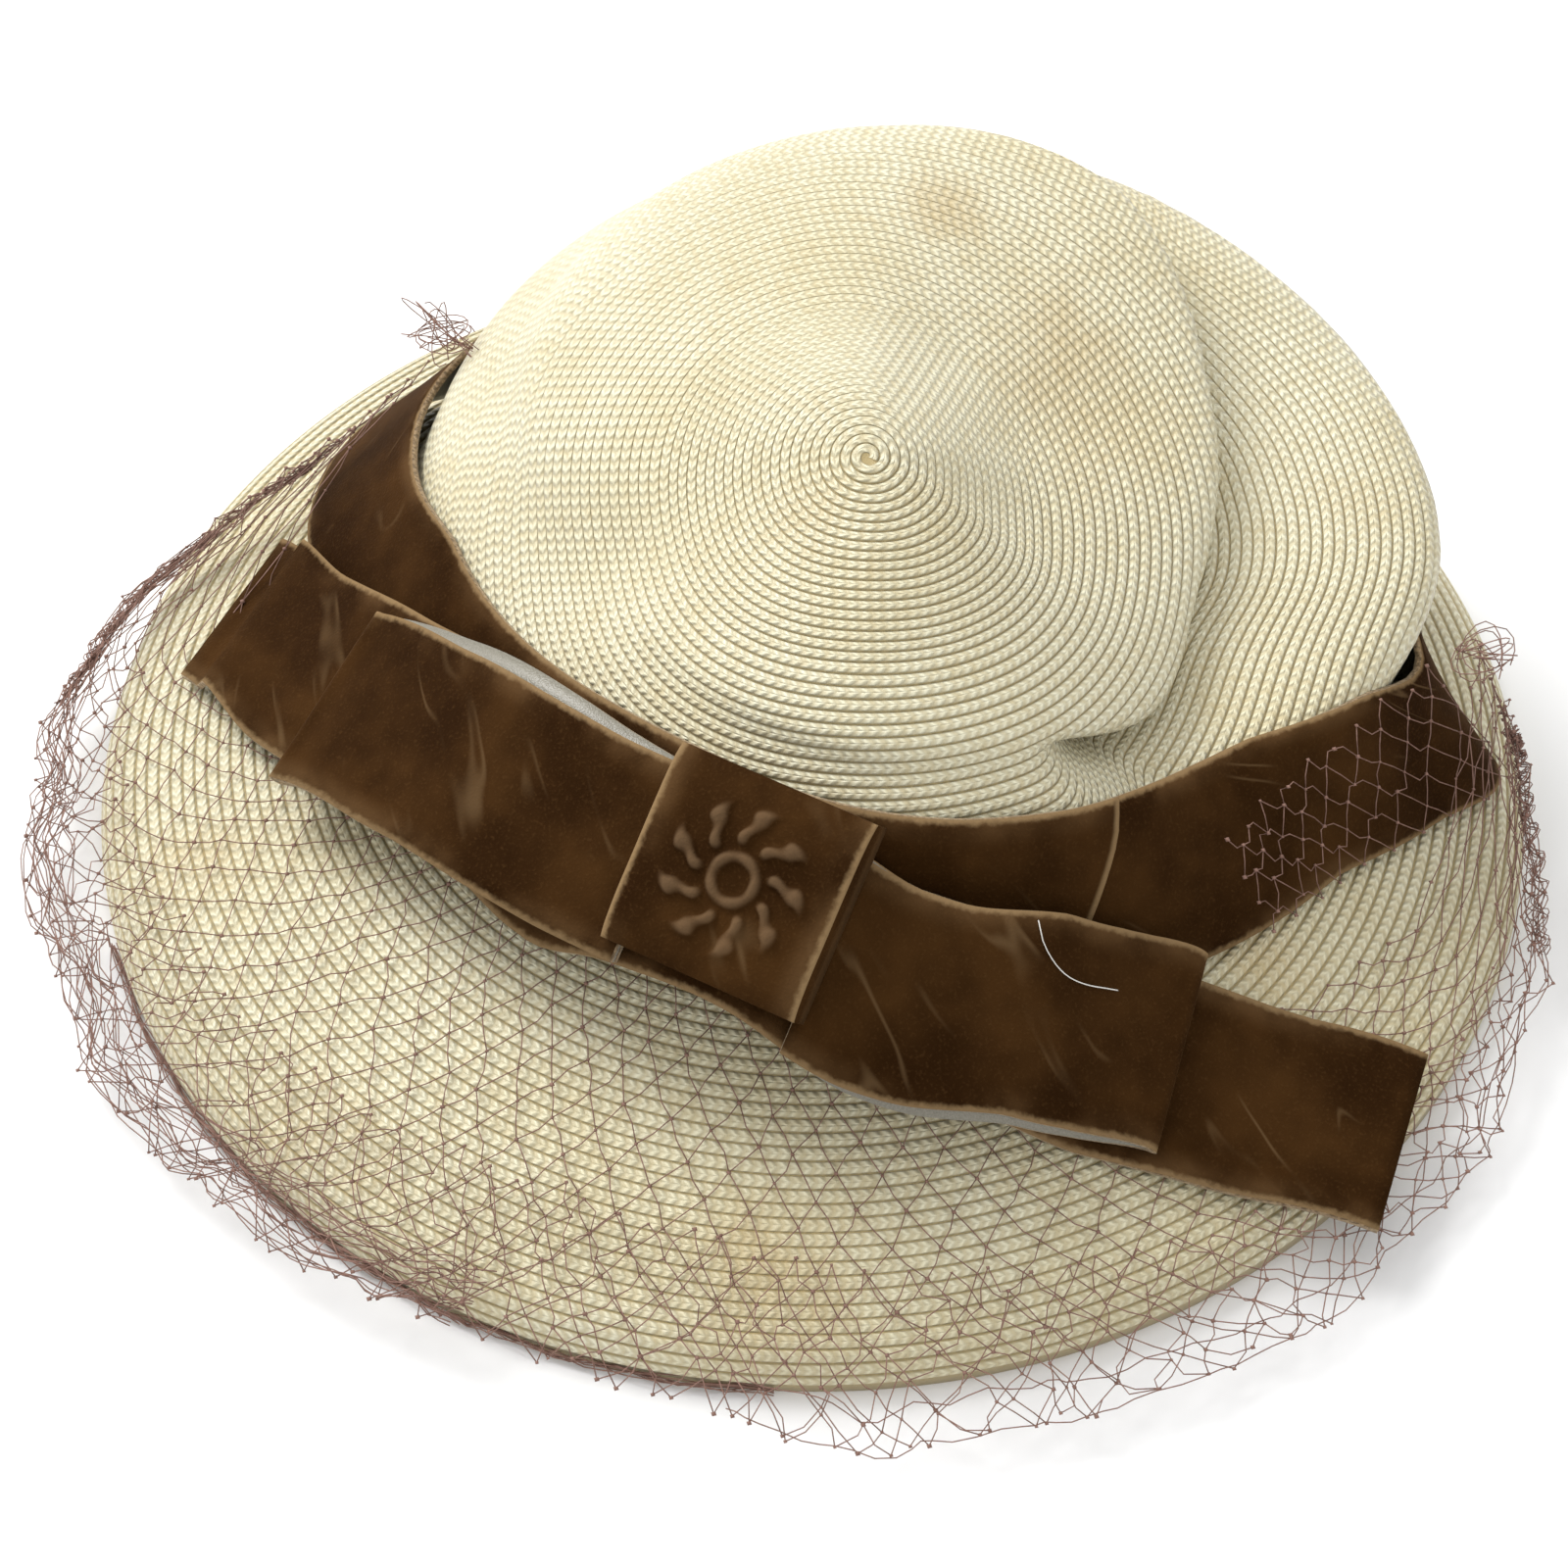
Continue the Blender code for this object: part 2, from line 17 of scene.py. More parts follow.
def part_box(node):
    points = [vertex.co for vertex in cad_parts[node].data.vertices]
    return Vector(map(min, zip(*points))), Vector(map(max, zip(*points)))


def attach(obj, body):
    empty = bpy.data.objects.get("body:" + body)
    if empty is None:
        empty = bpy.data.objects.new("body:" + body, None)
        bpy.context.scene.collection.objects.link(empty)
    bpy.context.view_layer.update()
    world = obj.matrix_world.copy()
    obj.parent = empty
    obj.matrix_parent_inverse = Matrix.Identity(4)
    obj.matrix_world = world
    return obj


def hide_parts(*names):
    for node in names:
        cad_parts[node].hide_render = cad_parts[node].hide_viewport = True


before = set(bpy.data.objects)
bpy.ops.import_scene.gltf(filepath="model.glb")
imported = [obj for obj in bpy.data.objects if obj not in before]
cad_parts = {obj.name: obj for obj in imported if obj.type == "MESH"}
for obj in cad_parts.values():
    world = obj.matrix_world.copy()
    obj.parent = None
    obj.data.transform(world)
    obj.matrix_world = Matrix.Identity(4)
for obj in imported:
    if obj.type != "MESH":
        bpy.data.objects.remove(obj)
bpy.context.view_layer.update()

# Sizes of the hat, as in the solids, but the fold's tuck is 2 mm deeper here, the knot stands
# 1.7 mm further right and its swirl has nine arms instead of seven.

BRIM_RADIUS = 0.123
BRIM_SLOPE = math.radians(22)
BRIM_ROLL = 0.008
BRIM_SKIRT = 0.002
STRAW = 0.0016
GAP = 0.0003

HEAD_HALF_WIDTH = 0.088
HEAD_HALF_LENGTH = 0.079
HEAD_BACK_SHIFT = 0.019

CROWN_HEIGHT = 0.086
CROWN_TURN = math.radians(29)
TIP_RIGHT = 0.0086
TIP_BACK = 0.0019
TIP_LEAN = math.radians(20)
TUCK_IN = 0.0085
TUCK_DROP = 0.0075

RIBBON_WIDTH = 0.033
RIBBON = 0.0012
BAND_CLEARANCE = 0.0012
BOW_CLEARANCE = 0.0007

KNOT_WIDTH = 0.0345
KNOT_DEPTH = 0.0075
KNOT_RIGHT = 0.0222
KNOT_FORWARD = 0.004
KNOT_TILT = 36
ROSETTE_RADIUS = 0.0135
ROSETTE_RELIEF = 0.0012
ROSETTE_ARMS = 9
TUCKED = 0.002

LOOP_REACH = 0.0775
LOOP_OPENING = 0.0036
TAIL_REACH = 0.1125
BOW_RIGHT = 0.011

VEIL_SHEET = 0.0008
VEIL_OVERHANG = 0.012
VEIL_DROOP = 0.006

# Sizes that only show here

TIP_BRAID = 0.0017
CROWN_BRAID = 0.0020
BRIM_BRAID = 0.0023
TIP_BRAID_REACH = 0.034
BRAID_RISE = 0.00042
BRAID_FADE = 0.002
BRAID_STITCH = 0.0019
ROW_SHIFT = 0.618
SLOPE_STEP = 0.0004
MERGE = 2e-6
SELVEDGE = 0.0013
RUFFLE = 0.0004
RUFFLES_PER_METRE = 55.0
ROSETTE_RING = 0.27
ROSETTE_HUB = 0.34
ROSETTE_TWIST = 7.0
KNOT_CREASE = 0.0002
THREAD = 0.00012
THREAD_KNOT = 0.00045

AROUND = 180
CROWN_STEPS = (12, 14, 12, 10, 8)
BRIM_COLUMNS = 300
BRIM_STEPS = 12
BISECTIONS = 30
ROLL_STEPS = 12
BAND_STEPS = 12
RIBBON_STEPS = 12
SUPPORT_STEPS = 32
TAIL_STEPS = 96
LOOP_STEPS = 32
LOOP_TURN_STEPS = 10
KNOT_STEPS = 84
KNOT_SUPPORTS = 18

# Crown sections through its tip: direction, then the reach and height of the dip, the crest and the
# wall. Direction is in degrees from the crown's own right side, seen from above. Reaches are shares
# of the head oval's reach that way, and heights are shares of CROWN_HEIGHT.

CROWN_SECTIONS = (
    (0, 0.30, 0.81, 0.63, 0.65, 1.02, 0.55),
    (30, 0.35, 0.82, 0.73, 0.74, 1.05, 0.61),
    (60, 0.38, 0.90, 0.87, 0.89, 1.01, 0.70),
    (90, 0.37, 0.98, 0.79, 0.95, 0.97, 0.64),
    (120, 0.37, 0.97, 0.73, 0.89, 0.94, 0.58),
    (150, 0.35, 0.92, 0.64, 0.80, 0.89, 0.52),
    (180, 0.33, 0.87, 0.51, 0.74, 0.74, 0.57),
    (210, 0.35, 0.87, 0.54, 0.77, 0.73, 0.63),
    (240, 0.38, 0.90, 0.62, 0.80, 0.80, 0.65),
    (270, 0.41, 0.91, 0.69, 0.81, 0.88, 0.66),
    (300, 0.39, 0.88, 0.66, 0.77, 0.87, 0.60),
    (330, 0.35, 0.84, 0.67, 0.63, 0.87, 0.51),
)
FOLD_WINDOW = (-62, -35, 48, 88)
PLAIN_SHARE = 0.4

# How far the crown's wall swells over the band's upper edge: direction in degrees, and metres.

CROWN_SWELL = (
    (0, 0.0),
    (16, 0.0003),
    (24, 0.0014),
    (35, 0.0046),
    (46, 0.0056),
    (64, 0.0050),
    (85, 0.0035),
    (125, 0.0030),
    (155, 0.0028),
    (178, 0.0),
    (270, 0.0),
)
SWELL_SPREAD = (-16, -8, 0, 8, 16)
SWELL_BELOW_EDGE = 0.008
SWELL_START = 0.006
SWELL_FADE = 0.6
SWELL_LEAST_FADE = 0.004
BAND_UNDER_SWELL = 0.35

# How far the band's lower edge stands out from the head oval: direction in degrees, and ribbon
# widths. The band starts 12 degrees sooner than in the solids, and its end is pulled round over
# that start and cut on a slant.

BAND_FLARE = (
    (5, 0.14),
    (18, 0.42),
    (27, 0.70),
    (35, 0.18),
    (45, 0.02),
    (140, -0.02),
    (158, 0.06),
    (168, 0.46),
    (183, 0.40),
    (196, 0.16),
    (240, 0.08),
    (330, 0.10),
)
BAND_START = 324
BAND_SWEEP = 385.3
BAND_OVERLAP = 53.3
BAND_STATIONS = 224
LAP_PULL = math.radians(8.5)
LAP_PULL_SHARE = 0.1
LAP_SLANT = 2.1

# The bow's tails and loops: along, back, lift, tilt, skew. Along is a share of the reach from the
# bow's middle, or for a loop from the knot's side. Back, lift and skew are in ribbon widths, and
# tilt in degrees raises the back edge.

TAILS = (
    (-1.00, 1.13, 0.00, 6, 0.00),
    (-0.80, 0.77, 0.00, 18, 0.00),
    (-0.60, 0.53, 0.00, 28, 0.00),
    (-0.40, 0.31, 0.00, 33, 0.00),
    (-0.20, 0.04, 0.00, 36, 0.00),
    (-0.08, 0.02, 0.00, 36, 0.00),
    (0.22, 0.02, 0.00, 36, 0.00),
    (0.34, 0.13, 0.00, 36, 0.02),
    (0.50, 0.42, 0.02, 28, 0.06),
    (0.75, 0.81, 0.00, 14, 0.13),
    (1.00, 1.11, 0.04, 6, 0.19),
)
LEFT_LOOP = (
    (0.00, -0.02, 0.00, 36, 0.00),
    (0.35, 0.07, 0.06, 33, -0.03),
    (0.70, 0.27, 0.04, 28, -0.07),
    (1.00, 0.46, 0.00, 24, -0.10),
)
RIGHT_LOOP = (
    (0.00, -0.02, 0.00, 36, 0.00),
    (0.35, 0.10, 0.06, 32, 0.07),
    (0.70, 0.45, 0.04, 27, 0.14),
    (1.00, 0.76, 0.00, 22, 0.20),
)

# How far the lower layer of each loop shows behind the upper one.

LEFT_LOOP_SHIFT = 0.0026
RIGHT_LOOP_SHIFT = -0.0010

# Stains on the straw: x, y and z of the middle of each in the hat's frame, radius and strength.

STAINS = (
    (-0.010, 0.062, 0.080, 0.013, 0.55),
    (0.018, 0.051, 0.075, 0.020, 0.35),
    (0.004, -0.012, 0.084, 0.012, 0.25),
    (0.030, 0.040, 0.070, 0.024, 0.25),
    (0.091, -0.009, 0.018, 0.014, 0.60),
    (0.048, -0.098, 0.012, 0.022, 0.40),
    (-0.030, -0.110, 0.012, 0.020, 0.25),
    (-0.075, -0.075, 0.014, 0.016, 0.30),
    (0.070, 0.060, 0.045, 0.016, 0.25),
)

# The camera, fitted to the photograph: where it looks from, and its lens.

CAMERA_AZIMUTH = math.radians(29)
CAMERA_ELEVATION = math.radians(51)
CAMERA_DISTANCE = 0.7686
CAMERA_SHIFT_RIGHT = -0.0049
CAMERA_LENS = 100.9
CAMERA_SENSOR = 36

# The studio: its floor, the light all round, and each lamp's name, place, width and power.

FLOOR_SIZE = 6.0
WORLD_STRENGTH = 0.72
LAMPS = (
    ("key", (-1.2, 0.35, 1.25), 0.9, 27),
    ("fill", (1.1, -1.0, 1.2), 1.4, 4),
    ("top", (-0.1, 0.1, 1.9), 1.4, 5),
)
LAMPS_AIM = (0, 0, 0.04)

brim_low, brim_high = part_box("brim")
CENTRE = Vector(((brim_low[0] + brim_high[0]) / 2, (brim_low[1] + brim_high[1]) / 2, 0))

# Curves through tables


def smooth(a, b, c, d, t):
    """The Catmull-Rom curve between b and c."""
    return b + 0.5 * t * (c - a + t * (2 * a - 5 * b + 4 * c - d + t * (3 * (b - c) + d - a)))


def around_table(rows, angle):
    """A row of values read from a closed table whose first column is a direction in degrees."""
    degrees = math.degrees(angle) % 360
    starts = [row[0] for row in rows]
    here = len([start for start in starts if start <= degrees]) - 1
    count = len(rows)
    low = starts[here] if here >= 0 else starts[-1] - 360
    high = starts[(here + 1) % count] + (360 if here + 1 >= count else 0)
    share = (degrees - low) / (high - low)
    picked = [rows[(here + step) % count] for step in (-1, 0, 1, 2)]
    return [smooth(*values, share) for values in zip(*(row[1:] for row in picked))]


def along_table(rows, share):
    """A row of values read from an open table by its first column."""
    here = max(0, min(len(rows) - 2, len([row for row in rows if row[0] <= share]) - 1))
    local = (share - rows[here][0]) / (rows[here + 1][0] - rows[here][0])
    picked = [rows[min(max(here + step, 0), len(rows) - 1)] for step in (-1, 0, 1, 2)]
    return [smooth(*values, local) for values in zip(*(row[1:] for row in picked))]


def with_neighbours(points):
    """Every point of a path with the one before it and the one after it."""
    return zip([points[0], *points], points, [*points[1:], points[-1]])


def ease(share):
    """0 to 1 with soft ends."""
    share = max(0.0, min(1.0, share))
    return share * share * (3 - 2 * share)


# Surfaces of the straw


def head_reach(angle):
    """From the tip's axis out to the head oval."""
    across, along = math.cos(angle), math.sin(angle)
    start_across, start_along = TIP_RIGHT, TIP_BACK - HEAD_BACK_SHIFT
    a = (across / HEAD_HALF_WIDTH) ** 2 + (along / HEAD_HALF_LENGTH) ** 2
    b = across * start_across / HEAD_HALF_WIDTH**2 + along * start_along / HEAD_HALF_LENGTH**2
    c = (start_across / HEAD_HALF_WIDTH) ** 2 + (start_along / HEAD_HALF_LENGTH) ** 2 - 1
    return (-b + math.sqrt(b * b - a * c)) / a


def plan_point(angle, reach):
    return TIP_RIGHT + reach * math.cos(angle), TIP_BACK + reach * math.sin(angle)


def in_space(angle, point):
    x, y = plan_point(angle, point[0])
    return Vector((x, y, point[1]))


def brim_profile():
    """The brim's upper side from the skirt's foot up the roll, as radius and height."""
    bend = math.pi / 2 - BRIM_SLOPE
    points = [(BRIM_RADIUS, 0.0)]
    for step in range(ROLL_STEPS + 1):
        turn = bend * step / ROLL_STEPS
        radius = BRIM_RADIUS - BRIM_ROLL * (1 - math.cos(turn))
        points.append((radius, BRIM_SKIRT + BRIM_ROLL * math.sin(turn)))
    return points


def brim_top(x, y):
    """The height of the brim's upper side over a point of the plan."""
    roll_radius, roll_height = brim_profile()[-1]
    radius = math.hypot(x, y)
    if radius <= roll_radius:
        return roll_height + (roll_radius - radius) * math.tan(BRIM_SLOPE)
    over = min(1.0, (radius - BRIM_RADIUS + BRIM_ROLL) / BRIM_ROLL)
    return BRIM_SKIRT + BRIM_ROLL * math.sqrt(1 - over * over)


def fold_share(degrees):
    start, full, fade, end = FOLD_WINDOW
    turned = (degrees - start) % 360 + start
    return ease((turned - start) / (full - start)) * (1 - ease((turned - fade) / (end - fade)))


def crown_keys(angle):
    """The reach and height of a section's key points, from the tip to the brim."""
    own = angle - CROWN_TURN
    dip_r, dip_h, crest_r, crest_h, wall_r, wall_h = around_table(CROWN_SECTIONS, own)
    reach = head_reach(angle)
    dip = (dip_r * reach, dip_h * CROWN_HEIGHT)
    crest = (crest_r * reach, crest_h * CROWN_HEIGHT)
    wall = (wall_r * reach, wall_h * CROWN_HEIGHT)
    fold = fold_share(math.degrees(own))
    plain = tuple(a * (1 - PLAIN_SHARE) + b * PLAIN_SHARE for a, b in zip(crest, wall))
    tucked = (crest[0] - TUCK_IN, crest[1] - TUCK_DROP)
    tuck = tuple(a + (b - a) * fold for a, b in zip(plain, tucked))
    base = (reach, brim_top(*plan_point(angle, reach - STRAW)) + GAP + STRAW)
    return [(0.0, CROWN_HEIGHT), dip, crest, tuck, wall, base]


def crown_section(angle):
    """Points down one section of the crown, as reach and height."""
    keys = crown_keys(angle)
    slope = -math.tan(TIP_LEAN) * math.cos(angle - CROWN_TURN + math.pi / 2)
    before = (-keys[1][0], keys[1][1] - 2 * keys[1][0] * slope)
    after = (2 * keys[-1][0] - keys[-2][0], 2 * keys[-1][1] - keys[-2][1])
    chain = [before, *keys, after]
    points = []
    for part, count in enumerate(CROWN_STEPS):
        a, b, c, d = chain[part : part + 4]
        for step in range(count):
            share = step / count
            points.append(tuple(smooth(*values, share) for values in zip(a, b, c, d)))
    points.append(keys[-1])
    points.append((keys[-1][0], keys[-1][1] - STRAW))
    return points


def round_brim(angle, radius, height):
    return Vector((radius * math.cos(angle), radius * math.sin(angle), height))


def brim_path(angle):
    """The brim's upper side at one direction, from its edge in to the head opening."""
    ring = [round_brim(angle, radius, height) for radius, height in brim_profile()]
    low, high = HEAD_HALF_LENGTH / 2, BRIM_RADIUS
    for _ in range(BISECTIONS):
        middle = (low + high) / 2
        x, y = middle * math.cos(angle), middle * math.sin(angle)
        along = math.atan2(y - TIP_BACK, x - TIP_RIGHT)
        inside = math.hypot(x - TIP_RIGHT, y - TIP_BACK) < head_reach(along) - STRAW
        low, high = (middle, high) if inside else (low, middle)
    end = round_brim(angle, high, brim_top(high, 0))
    return ring + [ring[-1].lerp(end, step / BRIM_STEPS) for step in range(1, BRIM_STEPS + 1)]


# Meshes


def written(name, bm):
    mesh = bpy.data.meshes.new(name)
    bm.to_mesh(mesh)
    bm.free()
    return mesh


def walled(thing, thickness):
    """Gives a sheet its thickness, inwards from its outer side."""
    wall = thing.modifiers.new("wall", "SOLIDIFY")
    wall.thickness = thickness
    wall.offset = -1
    wall.use_even_offset = False
    return wall


def finished(name, mesh, *materials, replaced=None, slot=None):
    """An object for a mesh in the hat's frame, riding on the hat."""
    mesh.shade_smooth()
    thing = bpy.data.objects.new(name, mesh)
    bpy.context.collection.objects.link(thing)
    thing.location = CENTRE
    for material in materials:
        mesh.materials.append(material)
    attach(thing, "root")
    if replaced:
        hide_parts(replaced)
    return thing


# One row of braid from its upper edge down, as shares of its width and of its rise.

BRAID_PROFILE = ((0.0, 0.0), (0.22, 0.72), (0.88, 1.0))


def run_along(points):
    """The distance along a path to each of its points."""
    return np.concatenate([[0], np.cumsum(np.linalg.norm(np.diff(points, axis=0), axis=1))])


def row_edges(widths, length):
    """Where each row of braid starts along a path: widths are (until, width) pairs."""
    edges = [0.0]
    while edges[-1] < length:
        width = next(width for until, width in widths if edges[-1] < until)
        edges.append(edges[-1] + width)
    return np.array(edges)


def sewn_straw(name, paths, widths, material, outward, replaced):
    """Braid sewn in one spiral: paths run down each direction from the spiral's start."""
    columns, samples = len(paths), len(BRAID_PROFILE)
    paths = [np.array(path, float) for path in paths]
    lengths = [run_along(path) for path in paths]
    edges = row_edges(widths, max(length[-1] for length in lengths) + 2 * CROWN_BRAID)
    turns = len(edges) - 2
    rings = turns * samples
    shares = np.array([k // samples + BRAID_PROFILE[k % samples][0] for k in range(rings)])
    rises = np.array([BRAID_PROFILE[k % samples][1] for k in range(rings)])

    def at(column, distance):
        path, length = paths[column % columns], lengths[column % columns]
        return np.stack([np.interp(distance, length, path[:, axis]) for axis in range(3)], axis=-1)

    grid = np.zeros((rings, columns, 3))
    for column in range(columns):
        distance = np.interp(shares + column / columns, np.arange(len(edges)), edges)
        distance = np.minimum(distance, lengths[column][-1])
        down = at(column, distance + SLOPE_STEP) - at(column, distance - SLOPE_STEP)
        round_it = at(column + 1, distance) - at(column - 1, distance)
        normal = np.cross(down, round_it) * outward
        size = np.linalg.norm(normal, axis=1, keepdims=True)
        normal = np.where(size > 1e-12, normal / np.maximum(size, 1e-12), 0)
        fade = np.clip((lengths[column][-1] - distance) / BRAID_FADE, 0, 1)
        fade *= np.clip(distance / BRAID_FADE, 0, 1)
        grid[:, column] = at(column, distance) + normal * (rises * fade * BRAID_RISE)[:, None]

    points = np.concatenate([grid.reshape(-1, 3), np.array([path[0] for path in paths])])
    first = rings * columns

    def vertex(ring, column):
        if column == columns:
            ring, column = ring + samples, 0
        return ring * columns + column

    middle = grid[1::samples]
    following = np.concatenate([middle, np.concatenate([middle[1:, :1], middle[-1:, :1]])], axis=1)
    run = np.linalg.norm(np.diff(following, axis=1), axis=2).cumsum(axis=1)
    run = np.concatenate([np.zeros((turns, 1)), run], axis=1) / BRAID_STITCH
    faces, uvs = [], []
    for ring in range(rings - samples - 1):
        turn, sample = divmod(ring, samples)
        low = BRAID_PROFILE[sample][0]
        high = BRAID_PROFILE[sample + 1][0] if sample + 1 < samples else 0.999
        for column in range(columns):
            faces.append([vertex(ring, column), vertex(ring + 1, column),
                          vertex(ring + 1, column + 1), vertex(ring, column + 1)])
            here, there = run[turn, column : column + 2] + ROW_SHIFT * turn
            top, foot = turn + low, turn + high
            uvs.append([(here, top), (here, foot), (there, foot), (there, top)])
    for column in range(columns - 1):
        faces.append([first + column, vertex(0, column), vertex(0, column + 1), first + column + 1])
        uvs.append([(0, 0)] * 4)
    faces.append([first + columns - 1, vertex(0, columns - 1)]
                 + [vertex(ring, 0) for ring in range(samples, 0, -1)] + [first])
    uvs.append([(0, 0)] * (samples + 3))
    if outward < 0:
        faces = [face[::-1] for face in faces]
        uvs = [uv[::-1] for uv in uvs]
    mesh = bpy.data.meshes.new(name)
    mesh.from_pydata([tuple(point) for point in points], [], faces)
    layer = mesh.uv_layers.new(name="braid")
    layer.data.foreach_set("uv", [value for face in uvs for pair in face for value in pair])
    bm = bmesh.new()
    bm.from_mesh(mesh)
    bmesh.ops.remove_doubles(bm, verts=bm.verts[:], dist=MERGE)
    bmesh.ops.dissolve_degenerate(bm, edges=bm.edges[:], dist=MERGE / 2)
    bm.to_mesh(mesh)
    bm.free()
    walled(finished(name, mesh, material, replaced=replaced, slot="straw"), STRAW)


def over_the_band(angle):
    """A crown section whose wall swells over the band's upper edge, at the back and the sides."""
    points = crown_section(angle)
    swell = max(0.0, around_table(CROWN_SWELL, angle)[0])
    if swell == 0:
        return points
    near = [angle + math.radians(turn) for turn in SWELL_SPREAD]
    edge = sum(band_section(turned, 0)[-1][1] for turned in near) / len(near)
    first = sum(CROWN_STEPS[:2])
    crest = points[first][1]
    swollen = points[: first + 1]
    for reach, height in points[first + 1 :]:
        above = ease((height - edge + SWELL_BELOW_EDGE) / SWELL_START)
        below = ease((crest - height) / max(SWELL_FADE * (crest - edge), SWELL_LEAST_FADE))
        swollen.append((reach + swell * above * below, height))
    return swollen


def crown(material):
    paths = []
    for step in range(AROUND):
        angle = 2 * math.pi * step / AROUND
        paths.append([in_space(angle, point) for point in over_the_band(angle)])
    widths = ((TIP_BRAID_REACH, TIP_BRAID), (1.0, CROWN_BRAID))
    sewn_straw("crown_straw", paths, widths, material, 1, "crown")


def brim(material):
    paths = [brim_path(2 * math.pi * step / BRIM_COLUMNS) for step in range(BRIM_COLUMNS)]
    sewn_straw("brim_straw", paths, ((1.0, BRIM_BRAID),), material, -1, "brim")


# Velvet ribbons


def wall_outline(angle, clearance):
    """The crown's wall from its foot up, moved outwards, as reach and height."""
    points = crown_section(angle)[::-1][: sum(CROWN_STEPS[2:]) + 3]
    moved = []
    for before, here, after in with_neighbours(points):
        run, rise = after[0] - before[0], after[1] - before[1]
        length = math.hypot(run, rise)
        moved.append((here[0] + clearance * rise / length, here[1] - clearance * run / length))
    return moved


def taut(start, outline):
    """The tight path from a point over an outline, as the outline's points that it touches."""
    path = [start]
    rest = list(outline)
    while rest:
        r, z = path[-1]
        ahead = [p for p in rest if math.dist(p, path[-1]) > 1e-6] or rest[:1]
        pick = rest.index(max(ahead, key=lambda p: math.atan2(p[0] - r, p[1] - z)))
        path.append(rest[pick])
        rest = rest[pick + 1 :]
    return path


def along_path(path, distance):
    """The point at a distance along a path, or its end."""
    for low, high in zip(path, path[1:]):
        length = math.dist(low, high)
        if distance <= length:
            return tuple(a + (b - a) * distance / length for a, b in zip(low, high))
        distance -= length
    return path[-1]


def band_section(angle, lift):
    """The ribbon's outer side across one section, from its lower edge up, as reach and height."""
    swell = max(0.0, around_table(CROWN_SWELL, angle)[0])
    off = RIBBON + BAND_CLEARANCE + lift - BAND_UNDER_SWELL * swell
    reach = head_reach(angle) + around_table(BAND_FLARE, angle)[0] * RIBBON_WIDTH + off
    foot = (reach, brim_top(*plan_point(angle, reach - off)) + off)
    path = taut(foot, [p for p in wall_outline(angle, off) if p[1] > foot[1]])
    return [along_path(path, RIBBON_WIDTH * step / BAND_STEPS) for step in range(BAND_STEPS + 1)]


def crown_height(angle, reach):
    """The height of the crown's outer side at a reach, or 0 past its wall."""
    heights = [0.0]
    points = crown_section(angle)
    for inner, outer in zip(points, points[1:]):
        low, high = sorted((inner[0], outer[0]))
        if low <= reach <= high:
            share = (reach - inner[0]) / (outer[0] - inner[0]) if outer[0] != inner[0] else 0.0
            heights.append(inner[1] + (outer[1] - inner[1]) * share)
    return max(heights)


def veil_height(radius):
    """The height of the net's upper side: on the brim, then past its edge and drooping."""
    roll_radius, roll_height = brim_profile()[-1]
    lift = VEIL_SHEET + 2 * GAP
    if radius <= roll_radius:
        return brim_top(radius, 0) + lift
    past = min(1.0, (radius - roll_radius) / (BRIM_RADIUS + VEIL_OVERHANG - roll_radius))
    return roll_height + lift - VEIL_DROOP * past**1.6


def hat_top(x, y):
    """The height of what a bow ribbon lies on: the net, the brim, the band or the crown."""
    angle = math.atan2(y - TIP_BACK, x - TIP_RIGHT)
    reach = math.hypot(y - TIP_BACK, x - TIP_RIGHT)
    section = band_section(angle, RIBBON + GAP)
    if reach >= section[0][0]:
        return veil_height(math.hypot(x, y))
    outline = section + [(0.0, section[-1][1])]
    heights = [crown_height(angle, reach)]
    for outer, inner in zip(outline, outline[1:]):
        if inner[0] <= reach <= outer[0]:
            share = (outer[0] - reach) / max(outer[0] - inner[0], 1e-6)
            heights.append(outer[1] + (inner[1] - outer[1]) * share)
    return max(heights)


def ribbon_row(x, station, supports, off):
    """A line across a bow ribbon, from its front edge to its back one, seated on what is below."""
    back, lift, tilt, skew = station
    middle = HEAD_BACK_SHIFT - HEAD_HALF_LENGTH - KNOT_FORWARD + back * RIBBON_WIDTH
    rise, run = math.sin(math.radians(tilt)), math.cos(math.radians(tilt))
    needed = []
    for step in range(SUPPORT_STEPS + 1):
        place = RIBBON_WIDTH * (0.5 - step / SUPPORT_STEPS)
        y = middle + place * run
        needed.append(max(support(x - place * skew, y) for support in supports) - place * rise)
    height = max(needed) + off / run + lift * RIBBON_WIDTH
    row = []
    for step in range(RIBBON_STEPS + 1):
        place = RIBBON_WIDTH * (step / RIBBON_STEPS - 0.5)
        row.append(Vector((x - place * skew, middle + place * run, height + place * rise)))
    return row


def rail_at(rail, x):
    """The point of a line of points, from left to right, at x."""
    for left, right in zip(rail, rail[1:]):
        if left.x <= x <= right.x:
            return left.lerp(right, (x - left.x) / (right.x - left.x))
    return None


def rows_top(rows):
    """The height of a ribbon's upper side as a function of a place in plan, and 0 away from it."""
    rails = list(zip(*rows))

    def top(x, y):
        line = [point for point in (rail_at(rail, x) for rail in rails) if point is not None]
        for near, far in zip(line, line[1:]):
            if near.y <= y <= far.y:
                return near.z + (far.z - near.z) * (y - near.y) / (far.y - near.y)
        return 0.0

    return top


